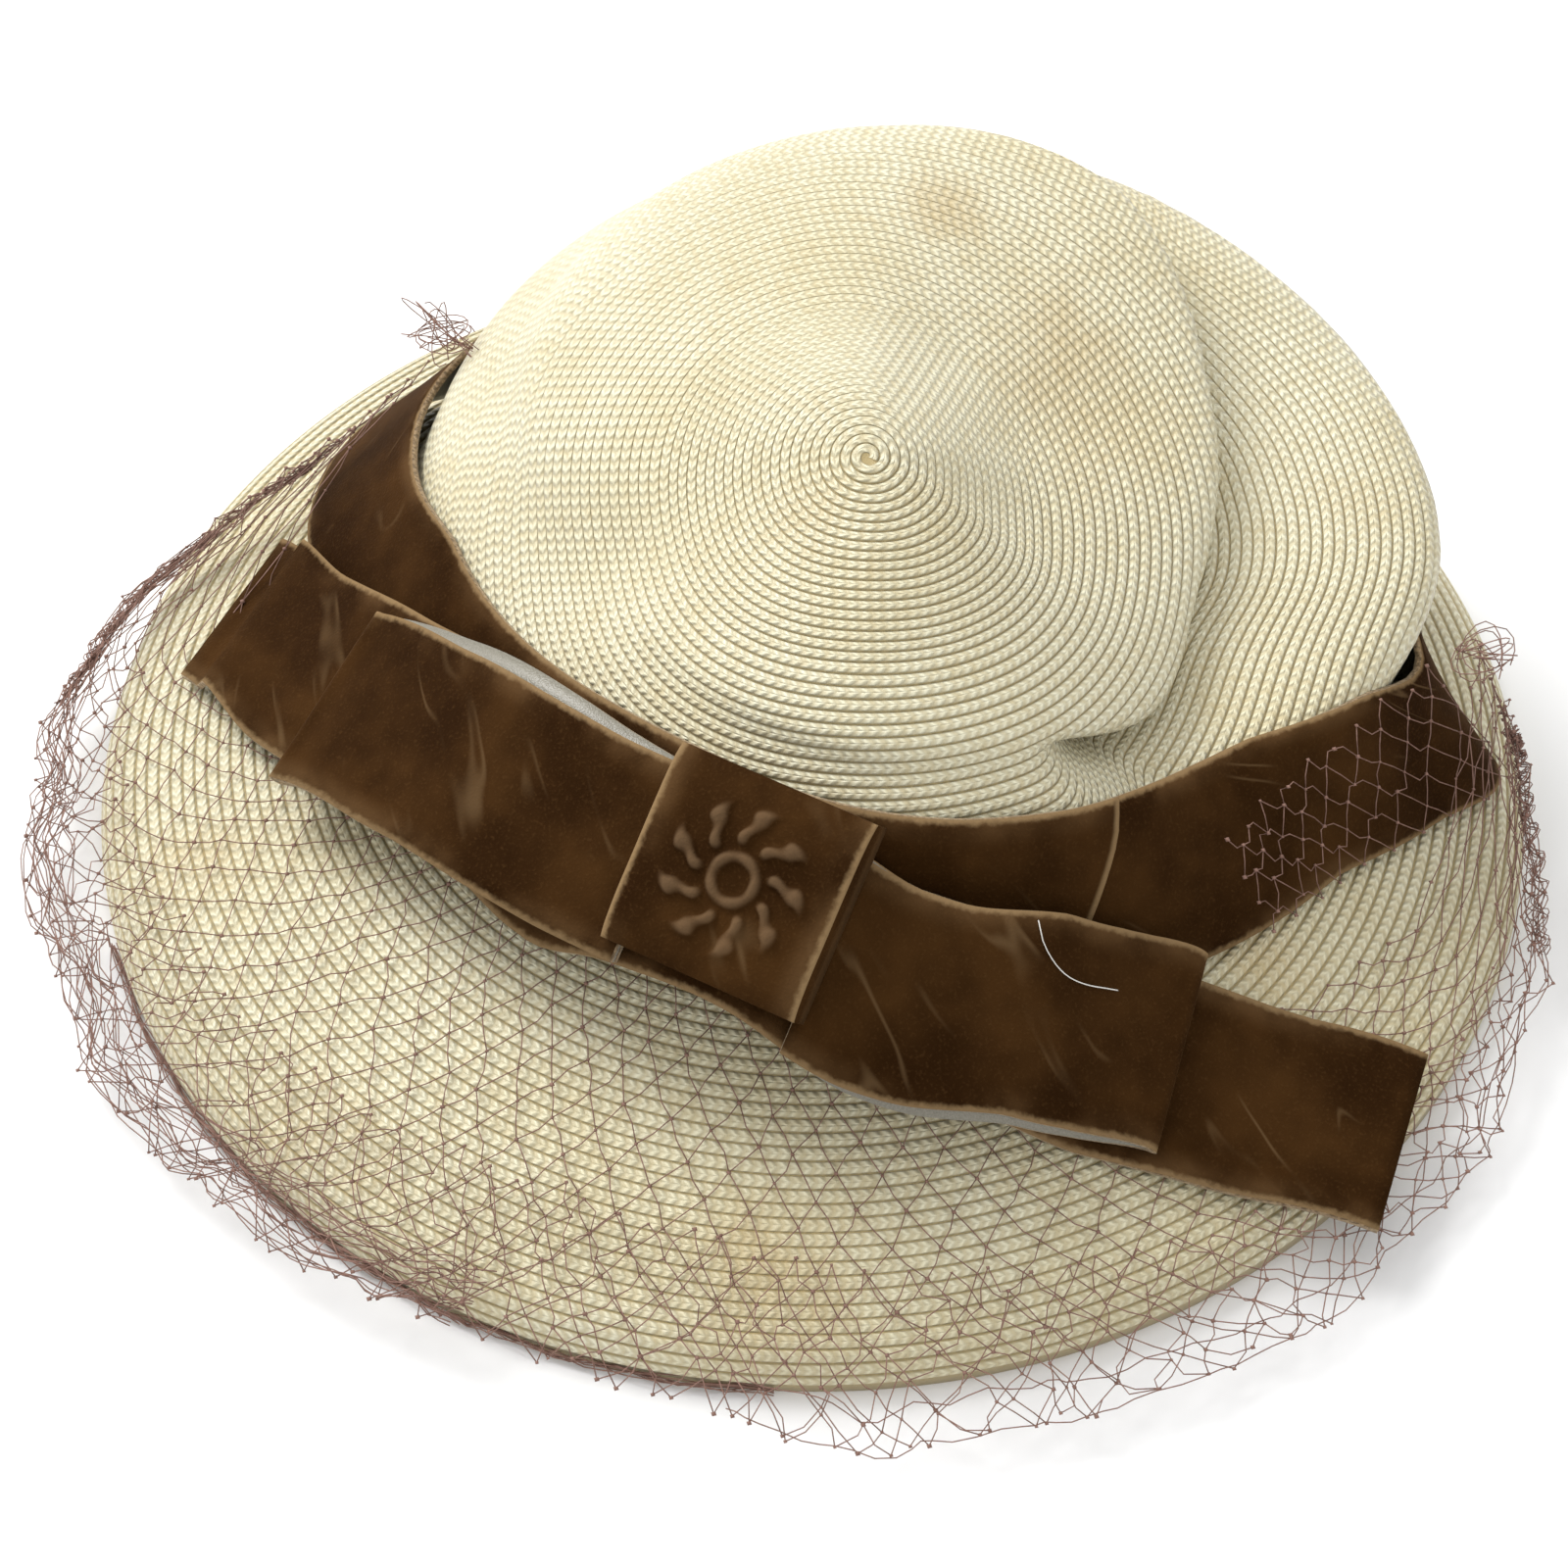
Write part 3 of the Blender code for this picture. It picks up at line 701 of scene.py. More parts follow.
def velvet_strip(name, rows, materials, replaced, frayed=False):
    """A ribbon through rows of points: velvet outside, satin inside, woven edges."""
    bm = bmesh.new()
    layer = bm.loops.layers.uv.new("ribbon")
    cut = bm.verts.layers.float.new("cut")
    across = len(rows[0]) - 1
    lengths = [0.0]
    for before, here in zip(rows, rows[1:]):
        lengths.append(lengths[-1] + (here[across // 2] - before[across // 2]).length)
    grid = []
    for station, row in enumerate(rows):
        verts = []
        for point in row:
            sway = noise.noise(point * RUFFLES_PER_METRE) * RUFFLE
            verts.append(bm.verts.new(point + Vector((0, 0, sway))))
            verts[-1][cut] = 1.0 if frayed and station == len(rows) - 1 else 0.0
        grid.append(verts)
    for i, (upper, lower) in enumerate(zip(grid, grid[1:])):
        for j in range(across):
            face = bm.faces.new((upper[j], lower[j], lower[j + 1], upper[j + 1]))
            corners = ((i, j), (i + 1, j), (i + 1, j + 1), (i, j + 1))
            for corner, (station, place) in zip(face.loops, corners):
                corner[layer].uv = (lengths[station] / RIBBON_WIDTH, place / across)
    thing = finished(name, written(name, bm), *materials, replaced=replaced, slot="velvet")
    wall = walled(thing, RIBBON)
    wall.material_offset = 1
    wall.material_offset_rim = 2


def band_rows():
    """Every section of the band: its angle, and its lift where it laps over its own start."""
    for step in range(BAND_STATIONS + 1):
        turned = BAND_SWEEP * step / BAND_STATIONS
        left = (BAND_SWEEP - turned) / BAND_OVERLAP
        yield math.radians(BAND_START + turned), (RIBBON + GAP) * ease(2 - 2 * left)


def band(materials):
    rows = []
    for step, (angle, lift) in enumerate(band_rows()):
        pulled = LAP_PULL * ease(1 - (1 - step / BAND_STATIONS) / LAP_PULL_SHARE)
        row = []
        for place in range(BAND_STEPS + 1):
            here = angle - pulled * (1 + LAP_SLANT * (1 - place / BAND_STEPS))
            row.append(in_space(here, band_section(here, lift)[place]))
        rows.append(row)
    velvet_strip("band_velvet", rows, materials,
                 "band", frayed=True)


def tail_rows():
    rows = []
    for step in range(TAIL_STEPS + 1):
        share = 2 * step / TAIL_STEPS - 1
        x = BOW_RIGHT + share * TAIL_REACH
        rows.append(ribbon_row(x, along_table(TAILS, share), [hat_top], RIBBON + BOW_CLEARANCE))
    return rows


def tails(rows, materials):
    velvet_strip("tails_velvet", rows, materials,
                 "bow_tails")


def ribbon_loop(name, table, direction, shift_back, under, materials, replaced):
    """A loop: out from the knot on top, round its end and back below. Gives its upper rows."""
    side = KNOT_RIGHT + direction * (KNOT_WIDTH / 2 - TUCKED)
    half = LOOP_OPENING / 2
    end = BOW_RIGHT + direction * (LOOP_REACH - half)
    middles, normals = [], []
    for step in range(LOOP_STEPS + 1):
        station = along_table(table, step / LOOP_STEPS)
        x = side + (end - side) * step / LOOP_STEPS
        middles.append(ribbon_row(x, station, [hat_top, under], half + BOW_CLEARANCE))
        tilt = math.radians(station[2])
        normals.append(Vector((0, -math.sin(tilt), math.cos(tilt))))
    upper = [[point + normal * half for point in row] for row, normal in zip(middles, normals)]
    rows = list(upper)
    for step in range(1, LOOP_TURN_STEPS):
        turn = math.pi * step / LOOP_TURN_STEPS
        past = Vector((direction * half * math.sin(turn), 0, 0))
        past += normals[-1] * half * math.cos(turn)
        rows.append([point + past for point in middles[-1]])
    for step in range(LOOP_STEPS, -1, -1):
        middle, normal = middles[step], normals[step]
        slide = (middle[-1] - middle[0]).normalized() * shift_back
        slide *= math.sin(math.pi * step / LOOP_STEPS)
        rows.append([point - normal * half + slide for point in middle])
    if direction < 0:
        rows = [row[::-1] for row in rows]
    velvet_strip(name, rows, materials, replaced)
    return upper


def rosette(across, up):
    """How far the knot's pressed swirl stands out at a place on its face, from 0 to 1."""
    radius = math.hypot(across, up) / ROSETTE_RADIUS
    if radius >= 1:
        return 0.0
    turn = math.atan2(up, across)
    rim = ease(5 * (1 - radius))
    wave = 0.35 * math.sin(21 * radius)
    arms = max(0.0, math.cos(ROSETTE_ARMS * turn + ROSETTE_TWIST * radius + wave)) ** 0.8
    arms *= ease((radius - ROSETTE_HUB) / 0.14) * (0.82 + 0.18 * math.cos(24 * radius))
    ring = ease(1 - abs(radius - ROSETTE_RING) / 0.12) * (0.85 + 0.15 * math.cos(5 * turn))
    return rim * max(arms, ring)


def knot(under, materials):
    """The wrap round the bow's middle, with a swirl pressed into its pile."""
    steps = KNOT_STEPS
    bm = bmesh.new()
    layer = bm.loops.layers.uv.new("ribbon")
    raised = bm.verts.layers.float.new("raised")
    front, back = {}, {}
    for i in range(steps + 1):
        for j in range(steps + 1):
            u, v = 2 * i / steps - 1, 2 * j / steps - 1
            x, y = u * KNOT_WIDTH / 2, v * RIBBON_WIDTH / 2
            puff = KNOT_DEPTH / 2 * (1 - 0.55 * v**6) * (1 - 0.22 * u**10)
            swirl = rosette(x, y)
            crease = KNOT_CREASE * noise.noise(Vector((x, y, 0)) * 120)
            front[i, j] = bm.verts.new((x, y, puff + ROSETTE_RELIEF * swirl + crease))
            front[i, j][raised] = swirl
            if i in (0, steps) or j in (0, steps):
                back[i, j] = bm.verts.new((x, y, -KNOT_DEPTH / 2))
    for i in range(steps):
        for j in range(steps):
            corners = ((i, j), (i + 1, j), (i + 1, j + 1), (i, j + 1))
            face = bm.faces.new([front[corner] for corner in corners])
            for corner, (a, b) in zip(face.loops, corners):
                corner[layer].uv = (b / steps, a / steps)
    rim = [(i, 0) for i in range(steps)] + [(steps, j) for j in range(steps)]
    rim += [(i, steps) for i in range(steps, 0, -1)] + [(0, j) for j in range(steps, 0, -1)]
    for here, there in zip(rim, rim[1:] + rim[:1]):
        face = bm.faces.new((back[here], back[there], front[there], front[here]))
        for corner in face.loops:
            corner[layer].uv = (0.5, 0.5)
    bm.faces.new([back[here] for here in rim[::-1]])
    off = KNOT_DEPTH / 2 + BOW_CLEARANCE
    middles = []
    for step in range(KNOT_SUPPORTS + 1):
        x = KNOT_RIGHT + KNOT_WIDTH * (step / KNOT_SUPPORTS - 0.5)
        line = ribbon_row(x, (0.0, 0.0, KNOT_TILT, 0.0), [hat_top, under], off)
        middles.append(line[RIBBON_STEPS // 2])
    place = max(middles, key=lambda point: point.z)
    place.x = KNOT_RIGHT
    mesh = written("knot_velvet", bm)
    thing = finished("knot_velvet", mesh, *materials, replaced="bow_knot", slot="velvet")
    thing.location = CENTRE + place
    thing.rotation_euler = (math.radians(KNOT_TILT), 0, 0)


# The net

# Its inner and outer edges: direction in degrees, inner radius and outer radius.

VEIL_SHAPE = (
    (184, 0.106, 0.126),
    (200, 0.100, 0.132),
    (216, 0.088, 0.1345),
    (236, 0.074, 0.1355),
    (256, 0.066, 0.133),
    (280, 0.064, 0.129),
    (300, 0.068, 0.136),
    (318, 0.078, 0.1375),
    (334, 0.088, 0.1385),
    (350, 0.098, 0.136),
    (366, 0.108, 0.131),
    (380, 0.114, 0.131),
)

# Each end is gathered between two points, from its inner edge to its outer one.

LEFT_BUNCH = (Vector((-0.0865, 0.0185, 0.046)), Vector((-0.1045, 0.0015, 0.023)))
RIGHT_BUNCH = (Vector((0.0985, 0.0520, 0.040)), Vector((0.1085, 0.0500, 0.022)))
BUNCH_SHARE = 0.08
FREE_FROM = 0.6
FOLD_START = 0.62
FOLD_LIFT = 0.0008
PATCH_START = -8
PATCH_SWEEP = 33
PATCH_LIFT = 0.0008

# How far the net waves out, sways round and crumples up: on the brim, and more at its free edge.

WAVE = (0.0012, 0.0026)
SWAY = (0.018, 0.030)
CRUMPLE = (0.0004, 0.0040)

# Columns and cells of each patch of net, and how far its crossings stray.

NET = (46, 13, 0.0006)
FOLD = (64, 6, 0.0014)
PATCH = (9, 6, 0.0004)

# Threads that run together along the outer edge: first and last place along the net, how many, and
# how far they spread. Below the brim's edge: first and last direction in degrees, and how many.

EDGE_BUNDLES = (
    (0.04, 0.46, 18, 0.0015),
    (0.55, 0.97, 2, 0.0009),
    (0.0, 0.10, 8, 0.0014),
    (0.93, 1.0, 8, 0.0014),
)
UNDER_BUNDLE = (226, 296, 9)

# Tangles of loose ends at the two bunches: the middle of each, its size and its loops.

TANGLES = (
    (LEFT_BUNCH[0] + Vector((0.001, 0.003, 0.003)), 0.0065, 12),
    (RIGHT_BUNCH[0] + Vector((0.002, -0.002, 0.0)), 0.005, 8),
)

# The stray thread on the right loop, in plan: its start, its span and its sag.

STRAY_START = (0.0633, -0.0422)
STRAY_SPAN = (0.0134, 0.0026)
STRAY_SAG = (0.0019, -0.0035)

BUNDLE_STEPS = 70
UNDER_STEPS = 60
TANGLE_STEPS = 14
STRAY_STEPS = 18


def veil_place(along, out):
    """A place on the net: along runs from its left bunch to its right one, out to its edge."""
    first, last = VEIL_SHAPE[0][0], VEIL_SHAPE[-1][0]
    degrees = first + (last - first) * along
    inner, outer = along_table(VEIL_SHAPE, degrees)
    free = ease((out - FREE_FROM) / (1 - FREE_FROM))
    wave = noise.noise(Vector((along * 19, 0, 0)))
    wave += 0.5 * noise.noise(Vector((along * 57, out * 2, 4)))
    radius = inner + (outer - inner) * out + wave * (WAVE[0] + WAVE[1] * free)
    sway = noise.noise(Vector((along * 21, out * 3, 9)))
    angle = math.radians(degrees) + sway * (SWAY[0] + SWAY[1] * free)
    crumple = abs(noise.noise(Vector((along * 31, out * 4, 2))))
    lift = crumple * (CRUMPLE[0] + CRUMPLE[1] * free)
    place = round_brim(angle, radius, veil_height(radius) + lift)
    for bunch, apart in ((LEFT_BUNCH, along), (RIGHT_BUNCH, 1 - along)):
        near = apart / BUNCH_SHARE
        if near < 1:
            end = bunch[0].lerp(bunch[1], out)
            place = end.lerp(place, ease(near) * 0.7 + near * 0.3)
    return place


def fold_place(along, out):
    """A place on the outer strip of net that is folded over the first."""
    place = veil_place(along, FOLD_START + (1 - FOLD_START) * out)
    lift = FOLD_LIFT + 0.0015 * abs(noise.noise(Vector((along * 37, out * 3, 6))))
    return place + Vector((0, 0, lift))


def add_thread(bm, points, radius, sides=3):
    """A thin round thread through points."""
    rings = []
    for before, here, after in with_neighbours(points):
        run = (after - before).normalized()
        side = run.cross(Vector((0.3, 0.2, 1))).normalized()
        up = side.cross(run)
        ring = []
        for step in range(sides):
            turn = 2 * math.pi * step / sides
            ring.append(bm.verts.new(here + (side * math.cos(turn) + up * math.sin(turn)) * radius))
        rings.append(ring)
    for one, two in zip(rings, rings[1:]):
        for step in range(sides):
            following = (step + 1) % sides
            bm.faces.new((one[step], one[following], two[following], two[step]))
    bm.faces.new(rings[0][::-1])
    bm.faces.new(rings[-1])


def add_knot(bm, place, radius):
    """A knot of the net, as a small octahedron."""
    tips = [bm.verts.new(place + Vector(step) * radius)
            for step in ((1, 0, 0), (0, 1, 0), (-1, 0, 0), (0, -1, 0))]
    top = bm.verts.new(place + Vector((0, 0, radius)))
    bottom = bm.verts.new(place - Vector((0, 0, radius)))
    for here, there in zip(tips, tips[1:] + tips[:1]):
        bm.faces.new((here, there, top))
        bm.faces.new((there, here, bottom))


def add_net(bm, place_at, columns, cells, shake, draw):
    """Knotted diamonds over a patch that place_at maps from (along, out)."""
    nodes, shares = {}, {}
    for row in range(cells + 1):
        for column in range(columns + 1):
            along = min(1.0, (column + 0.5 * (row % 2)) / columns)
            shares[column, row] = along, row / cells
            shift = Vector((draw.uniform(-1, 1), draw.uniform(-1, 1), draw.uniform(0, 0.4))) * shake
            nodes[column, row] = place_at(along, row / cells) + shift
            add_knot(bm, nodes[column, row], THREAD_KNOT * draw.uniform(0.7, 1.2))
    for row in range(cells):
        for column in range(columns + 1):
            step = 1 if row % 2 else -1
            for other in (column, column + step):
                if (other, row + 1) not in nodes:
                    continue
                ends = nodes[column, row], nodes[other, row + 1]
                (a, b), (c, d) = shares[column, row], shares[other, row + 1]
                middle = place_at((a + c) / 2, (b + d) / 2)
                drift = Vector((draw.uniform(-1, 1), draw.uniform(-1, 1), 0)) * shake * 0.5
                add_thread(bm, [ends[0], middle + drift, ends[1]], THREAD)


def over_band(along, out):
    """A place on the patch of net over the band's right side, just clear of the velvet."""
    angle = math.radians(PATCH_START + PATCH_SWEEP * along)
    section = band_section(angle, RIBBON + GAP + PATCH_LIFT)
    share = 0.02 + 0.96 * out * (0.55 + 0.45 * along)
    return in_space(angle, section[min(BAND_STEPS, round(share * BAND_STEPS))])


def edge_bundle(bm, first, last, threads, spread, draw):
    """Threads that run together along the net's outer edge."""
    for _ in range(threads):
        lean, phase, lift = draw.uniform(0.84, 1.0), draw.uniform(0, 6), draw.uniform(0.3, 1.0)
        pace = draw.uniform(0.5, 1.1)
        points = []
        for step in range(BUNDLE_STEPS + 1):
            along = first + (last - first) * step / BUNDLE_STEPS
            place = veil_place(along, lean)
            weave = math.sin(phase + step * pace) * spread
            points.append(place + Vector((weave * 0.6, weave * 0.6, abs(weave) * lift)))
        add_thread(bm, points, THREAD)


def under_edge(bm, first, last, threads, draw):
    """Threads gathered below the brim's edge, between two directions in degrees."""
    for _ in range(threads):
        middle, phase = BRIM_RADIUS + draw.uniform(0.0, 0.0012), draw.uniform(0, 6)
        points = []
        for step in range(UNDER_STEPS + 1):
            angle = math.radians(first + (last - first) * step / UNDER_STEPS)
            radius = middle + 0.0004 * math.sin(phase + step * 0.8)
            points.append(round_brim(angle, radius, 0.0014 + draw.uniform(-0.0006, 0.0006)))
        add_thread(bm, points, THREAD)


def tangle(bm, centre, size, loops, draw):
    """Loose thread ends that stand in small loops."""
    for _ in range(loops):
        # The sixth draw only keeps the order of those that follow.
        a, b, c, d, e, _sixth = (draw.uniform(-1, 1) for _ in range(6))
        start = draw.uniform(0, 6)
        points = []
        for step in range(TANGLE_STEPS + 1):
            turn = start + step * 0.42
            x = a * math.cos(turn) + b * math.sin(turn)
            y = c * math.cos(turn) + d * math.sin(1.3 * turn)
            z = abs(e) * (1 + math.sin(turn)) * 0.5
            points.append(centre + Vector((x, y, z)) * size)
        add_thread(bm, points, THREAD)


def veil(material):
    draw = random.Random(7)
    bm = bmesh.new()
    add_net(bm, veil_place, *NET, draw)
    add_net(bm, fold_place, *FOLD, draw)
    add_net(bm, over_band, *PATCH, draw)
    for bundle in EDGE_BUNDLES:
        edge_bundle(bm, *bundle, draw)
    under_edge(bm, *UNDER_BUNDLE, draw)
    for knot_of_ends in TANGLES:
        tangle(bm, *knot_of_ends, draw)
    finished("veil_net", written("veil_net", bm), material, replaced="veil", slot="net")


def loose_thread(upper, material):
    """A pale thread that lies in a small arc on the right loop."""
    bm = bmesh.new()
    on_loop = rows_top(upper)
    points = []
    for step in range(STRAY_STEPS + 1):
        share = step / STRAY_STEPS
        sag = math.sin(math.pi * share**0.6)
        x, y = (start + span * share + drop * sag
                for start, span, drop in zip(STRAY_START, STRAY_SPAN, STRAY_SAG))
        points.append(Vector((x, y, max(hat_top(x, y), on_loop(x, y)) + 5 * THREAD)))
    add_thread(bm, points, THREAD, 4)
    finished("stray_thread", written("stray_thread", bm), material, slot="net")


# Materials


class Nodes:
    """Short names for the nodes of one material."""

    def __init__(self, name, slot_colour, roughness):
        self.material = bpy.data.materials.new(name)
        self.material.use_nodes = True
        self.tree = self.material.node_tree
        self.shader = self.tree.nodes["Principled BSDF"]
        self.set("Base Color", (*slot_colour, 1))
        self.set("Roughness", roughness)

    def set(self, name, value):
        self.shader.inputs[name].default_value = value

    def add(self, kind, **settings):
        node = self.tree.nodes.new(kind)
        for key, value in settings.items():
            setattr(node, key, value)
        return node

    def link(self, source, target):
        self.tree.links.new(source, target)

    def math(self, operation, *values):
        node = self.add("ShaderNodeMath", operation=operation)
        for socket, value in zip(node.inputs, values):
            if isinstance(value, (int, float)):
                socket.default_value = value
            else:
                self.link(value, socket)
        return node.outputs[0]

    def mix(self, share, first, second):
        node = self.add("ShaderNodeMix", data_type="RGBA")
        sockets = node.inputs[0], node.inputs[6], node.inputs[7]
        for socket, value in zip(sockets, (share, first, second)):
            if isinstance(value, tuple):
                socket.default_value = (*value, 1)
            elif isinstance(value, (int, float)):
                socket.default_value = value
            else:
                self.link(value, socket)
        return node.outputs[2]

    def noise(self, vector, scale, detail=3.0, roughness=0.55):
        node = self.add("ShaderNodeTexNoise")
        node.inputs["Scale"].default_value = scale
        node.inputs["Detail"].default_value = detail
        node.inputs["Roughness"].default_value = roughness
        self.link(vector, node.inputs["Vector"])
        return node.outputs["Fac"]

    def ramp(self, value, low, high):
        node = self.add("ShaderNodeMapRange", interpolation_type="SMOOTHSTEP")
        node.inputs["From Min"].default_value = low
        node.inputs["From Max"].default_value = high
        self.link(value, node.inputs["Value"])
        return node.outputs[0]

    def colour(self, source):
        self.link(source, self.shader.inputs["Base Color"])

    def bump(self, height, distance, strength):
        node = self.add("ShaderNodeBump")
        node.inputs["Distance"].default_value = distance
        node.inputs["Strength"].default_value = strength
        self.link(height, node.inputs["Height"])
        self.link(node.outputs[0], self.shader.inputs["Normal"])

    def uv(self, name):
        """The two coordinates of a UV layer."""
        node = self.add("ShaderNodeUVMap", uv_map=name)
        split = self.add("ShaderNodeSeparateXYZ")
        self.link(node.outputs[0], split.inputs[0])
        return split.outputs[0], split.outputs[1]

    def place(self):
        return self.add("ShaderNodeTexCoord").outputs["Object"]


STRAW_COLOUR = (0.80, 0.73, 0.55)
VELVET_COLOUR = (0.075, 0.038, 0.014)
NET_COLOUR = (0.16, 0.09, 0.07)
EDGE_TAN = (0.24, 0.155, 0.075)


def straw_material():
    n = Nodes("straw", STRAW_COLOUR, 0.38)
    n.set("Specular IOR Level", 0.45)
    n.set("Sheen Weight", 0.15)
    place = n.place()
    along, rows = n.uv("braid")
    across = n.math("FRACT", rows)
    off = n.math("ABSOLUTE", n.math("SUBTRACT", across, 0.5))
    slanted = n.math("ADD", along, n.math("MULTIPLY", off, 0.9))
    chevron = n.math("SINE", n.math("MULTIPLY", slanted, 2 * math.pi))
    chevron = n.math("MULTIPLY_ADD", chevron, 0.5, 0.5)
    groove = n.ramp(off, 0.5, 0.36)
    spine = n.ramp(off, 0.0, 0.10)
    fibre = n.noise(place, 2600, 2.0)
    height = n.math("MULTIPLY", groove, n.math("MULTIPLY_ADD", chevron, 0.6, 0.4))
    height = n.math("MULTIPLY", height, n.math("MULTIPLY_ADD", spine, 0.25, 0.75))
    height = n.math("MULTIPLY_ADD", fibre, 0.25, height)
    n.bump(height, 0.0005, 0.9)
    patch = n.noise(place, 26, 4.0)
    speck = n.noise(place, 420, 2.0)
    tone = n.mix(n.ramp(patch, 0.35, 0.7), (0.82, 0.785, 0.585), (0.735, 0.675, 0.455))
    tone = n.mix(n.math("MULTIPLY", n.ramp(speck, 0.45, 0.75), 0.35), tone, (0.62, 0.50, 0.26))
    # Darker along the edges of each braid row and between its stitches: painted shade in the
    # grooves of the braid.
    painted_groove_shade = n.math("MULTIPLY", groove, n.math("MULTIPLY_ADD", chevron, 0.5, 0.5))
    tone = n.mix(painted_groove_shade, (0.40, 0.31, 0.14), tone)
    warp = n.noise(place, 90, 3.0)
    for x, y, z, radius, strength in STAINS:
        shift = n.add("ShaderNodeVectorMath", operation="DISTANCE")
        n.link(place, shift.inputs[0])
        shift.inputs[1].default_value = (x, y, z)
        reach = n.math("MULTIPLY_ADD", warp, radius * 1.2, shift.outputs["Value"])
        mask = n.math("MULTIPLY", n.ramp(reach, radius * 1.5, radius * 0.5), strength)
        tone = n.mix(mask, tone, (0.50, 0.36, 0.15))
    n.colour(tone)
    n.link(n.math("MULTIPLY_ADD", speck, 0.25, 0.28), n.shader.inputs["Roughness"])
    return n.material


def velvet_material(name, raised=False):
    n = Nodes(name, VELVET_COLOUR, 0.85)
    n.set("Sheen Weight", 0.12)
    n.set("Sheen Roughness", 0.30)
    n.set("Sheen Tint", (0.62, 0.36, 0.16, 1))
    n.set("Specular IOR Level", 0.03)
    place = n.place()
    along, across = n.uv("ribbon")
    crush = n.noise(place, 48, 3.0, 0.6)
    pile = n.noise(place, 1900, 2.0)
    # Thin light streaks that run slantwise along the ribbon, only in some places: painted
    # highlights on creases of the pile.
    lean = n.add("ShaderNodeCombineXYZ")
    n.link(n.math("MULTIPLY_ADD", along, 1.7, n.math("MULTIPLY", across, 1.6)), lean.inputs[0])
    n.link(n.math("MULTIPLY", across, 0.8), lean.inputs[1])
    painted_highlight_streak = n.math("ABSOLUTE", n.math("SUBTRACT", n.noise(lean.outputs[0], 1.0, 2.0), 0.5))
    some = n.ramp(n.noise(place, 60, 1.0), 0.54, 0.76)
    painted_highlight_streak = n.math("MULTIPLY", n.ramp(painted_highlight_streak, 0.022, 0.0), some)
    tone = n.mix(n.ramp(crush, 0.30, 0.78), (0.021, 0.0080, 0.0017), (0.056, 0.0240, 0.0062))
    tone = n.mix(n.math("MULTIPLY", painted_highlight_streak, 0.45), tone, (0.17, 0.105, 0.050))
    tone = n.mix(n.math("MULTIPLY", n.ramp(pile, 0.5, 0.8), 0.35), tone, (0.085, 0.042, 0.014))
    edge = n.math("ABSOLUTE", n.math("SUBTRACT", across, 0.5))
    share = SELVEDGE / RIBBON_WIDTH
    fuzz = n.math("MULTIPLY_ADD", n.noise(place, 700, 3.0), share, edge)
    selvedge = n.ramp(fuzz, 0.5 - share * 0.55, 0.5 + share * 0.35)
    # A lighter, patchy band along each edge of the ribbon: painted sheen of the pile at its edges.
    painted_edge_sheen = n.math("MULTIPLY", n.ramp(edge, 0.34, 0.5), n.ramp(crush, 0.35, 0.65))
    tone = n.mix(n.math("MULTIPLY", painted_edge_sheen, 0.55), tone, (0.135, 0.075, 0.032))
    tone = n.mix(selvedge, tone, EDGE_TAN)
    frayed = n.add("ShaderNodeAttribute", attribute_name="cut").outputs["Fac"]
    tone = n.mix(n.ramp(frayed, 0.25, 0.8), tone, EDGE_TAN)
    if raised:
        # Lighter on the knot's raised swirl: partly the pressed pattern's own tone, partly painted
        # highlight on its ridges.
        lift = n.add("ShaderNodeAttribute", attribute_name="raised").outputs["Fac"]
        tone = n.mix(n.math("MULTIPLY", n.ramp(lift, 0.15, 0.85), 0.4), tone, (0.24, 0.15, 0.080))
    n.colour(tone)
    n.bump(n.math("MULTIPLY_ADD", crush, 0.8, n.math("MULTIPLY", pile, 0.35)), 0.0006, 0.7)
    return n.material


def satin_material():
    n = Nodes("ribbon_back", (0.22, 0.20, 0.155), 0.36)
    weave = n.noise(n.place(), 3200, 1.0)
    n.colour(n.mix(weave, (0.15, 0.135, 0.100), (0.31, 0.29, 0.235)))
    n.bump(weave, 0.0002, 0.5)
    return n.material


def selvedge_material():
    n = Nodes("ribbon_edge", (0.33, 0.23, 0.12), 0.8)
    n.set("Sheen Weight", 0.6)
    n.set("Sheen Tint", (0.75, 0.60, 0.42, 1))
    fuzz = n.noise(n.place(), 1500, 3.0)
    n.colour(n.mix(n.ramp(fuzz, 0.35, 0.7), (0.10, 0.060, 0.025), (0.36, 0.25, 0.135)))
    n.bump(fuzz, 0.0004, 0.8)
    return n.material


def net_material():
    n = Nodes("net", NET_COLOUR, 0.6)
    n.set("Specular IOR Level", 0.2)
    twist = n.noise(n.place(), 900, 1.0)
    n.colour(n.mix(twist, (0.15, 0.080, 0.060), (0.36, 0.215, 0.170)))
    return n.material


def pale_material():
    n = Nodes("pale_thread", (0.75, 0.73, 0.68), 0.6)
    twist = n.noise(n.place(), 900, 1.0)
    n.colour(n.mix(twist, (0.70, 0.68, 0.62), (0.82, 0.80, 0.76)))
    return n.material


# Studio


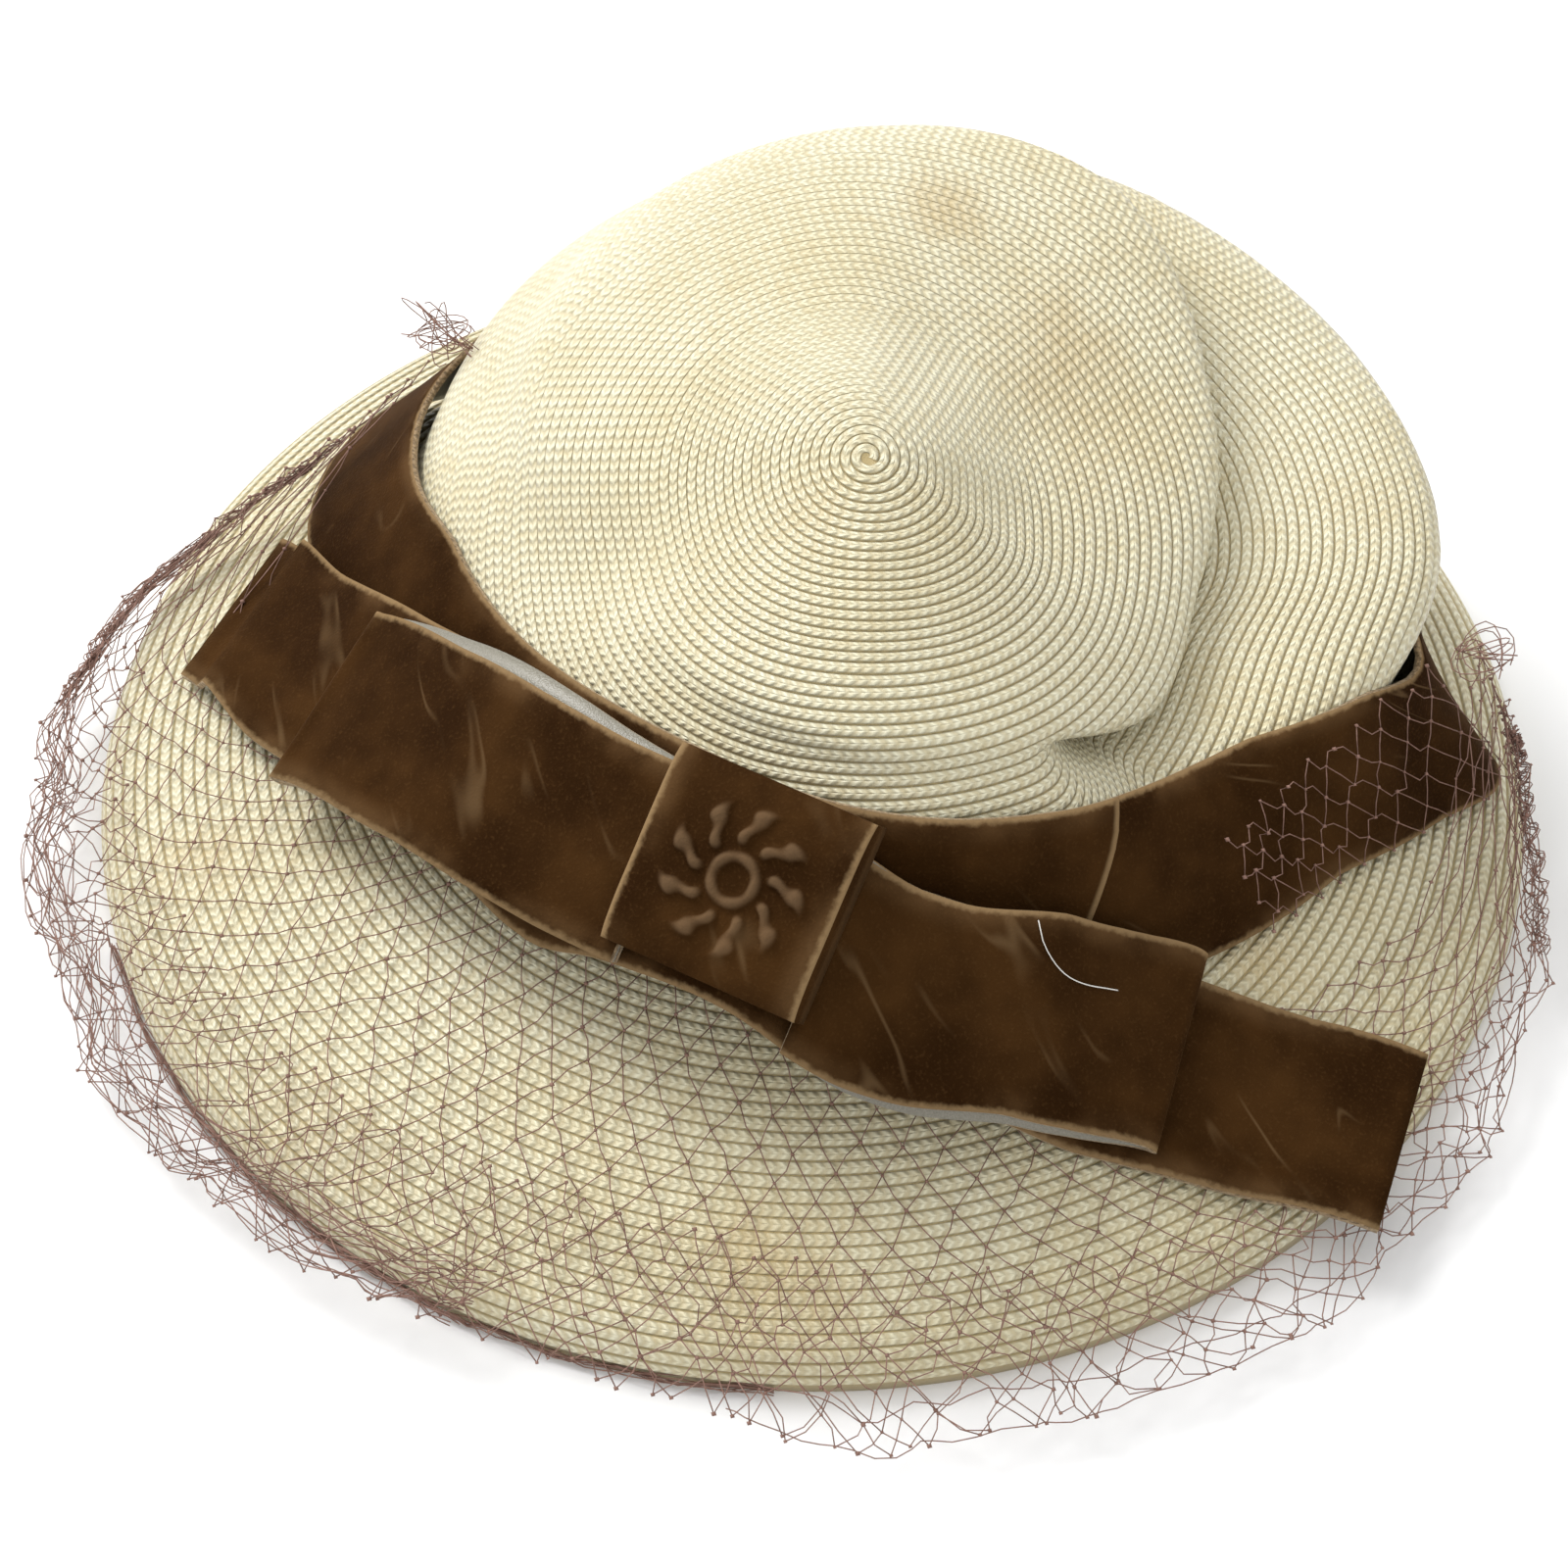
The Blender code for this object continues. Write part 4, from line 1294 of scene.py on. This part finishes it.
def studio():
    mesh = bpy.data.meshes.new("floor")
    half = FLOOR_SIZE / 2
    corners = [(-half, -half, 0), (half, -half, 0), (half, half, 0), (-half, half, 0)]
    mesh.from_pydata(corners, [], [(0, 1, 2, 3)])
    floor = bpy.data.objects.new("floor", mesh)
    bpy.context.collection.objects.link(floor)
    pale = Nodes("floor", (0.88, 0.88, 0.88), 0.9)
    mesh.materials.append(pale.material)
    world = bpy.data.worlds.new("studio")
    world.use_nodes = True
    background = world.node_tree.nodes["Background"]
    background.inputs["Color"].default_value = (1.0, 1.0, 1.0, 1)
    background.inputs["Strength"].default_value = WORLD_STRENGTH
    bpy.context.scene.world = world
    bpy.context.scene.view_settings.view_transform = "Standard"
    for name, place, width, energy in LAMPS:
        light = bpy.data.lights.new(name, "AREA")
        light.shape = "DISK"
        light.size = width
        light.energy = energy
        lamp = bpy.data.objects.new(name, light)
        lamp.location = place
        aim = Vector(LAMPS_AIM) - Vector(place)
        lamp.rotation_euler = aim.to_track_quat("-Z", "Y").to_euler()
        bpy.context.collection.objects.link(lamp)


def camera():
    data = bpy.data.cameras.new("camera")
    data.lens = CAMERA_LENS
    data.sensor_width = CAMERA_SENSOR
    eye = bpy.data.objects.new("camera", data)
    bpy.context.collection.objects.link(eye)
    level = CAMERA_DISTANCE * math.cos(CAMERA_ELEVATION)
    height = CAMERA_DISTANCE * math.sin(CAMERA_ELEVATION)
    across = Vector((math.cos(CAMERA_AZIMUTH), math.sin(CAMERA_AZIMUTH), 0))
    away = Vector((-math.sin(CAMERA_AZIMUTH), math.cos(CAMERA_AZIMUTH), 0))
    eye.location = CENTRE + across * CAMERA_SHIFT_RIGHT - away * level + Vector((0, 0, height))
    eye.rotation_euler = (math.pi / 2 - CAMERA_ELEVATION, 0, CAMERA_AZIMUTH)
    bpy.context.scene.camera = eye


camera()
studio()
straw = straw_material()
ribbon = (velvet_material("velvet"), satin_material(), selvedge_material())
crown(straw)
brim(straw)
band(ribbon)
tails_line = tail_rows()
tails(tails_line, ribbon)
tails_top = rows_top(tails_line)
ribbon_loop("loop_left_velvet", LEFT_LOOP, -1, LEFT_LOOP_SHIFT, tails_top, ribbon,
            "bow_loop_left")
right_upper = ribbon_loop("loop_right_velvet", RIGHT_LOOP, 1, RIGHT_LOOP_SHIFT, tails_top, ribbon,
                          "bow_loop_right")
knot(tails_top, (velvet_material("knot_velvet", raised=True), ribbon[1], ribbon[2]))
veil(net_material())
loose_thread(right_upper, pale_material())
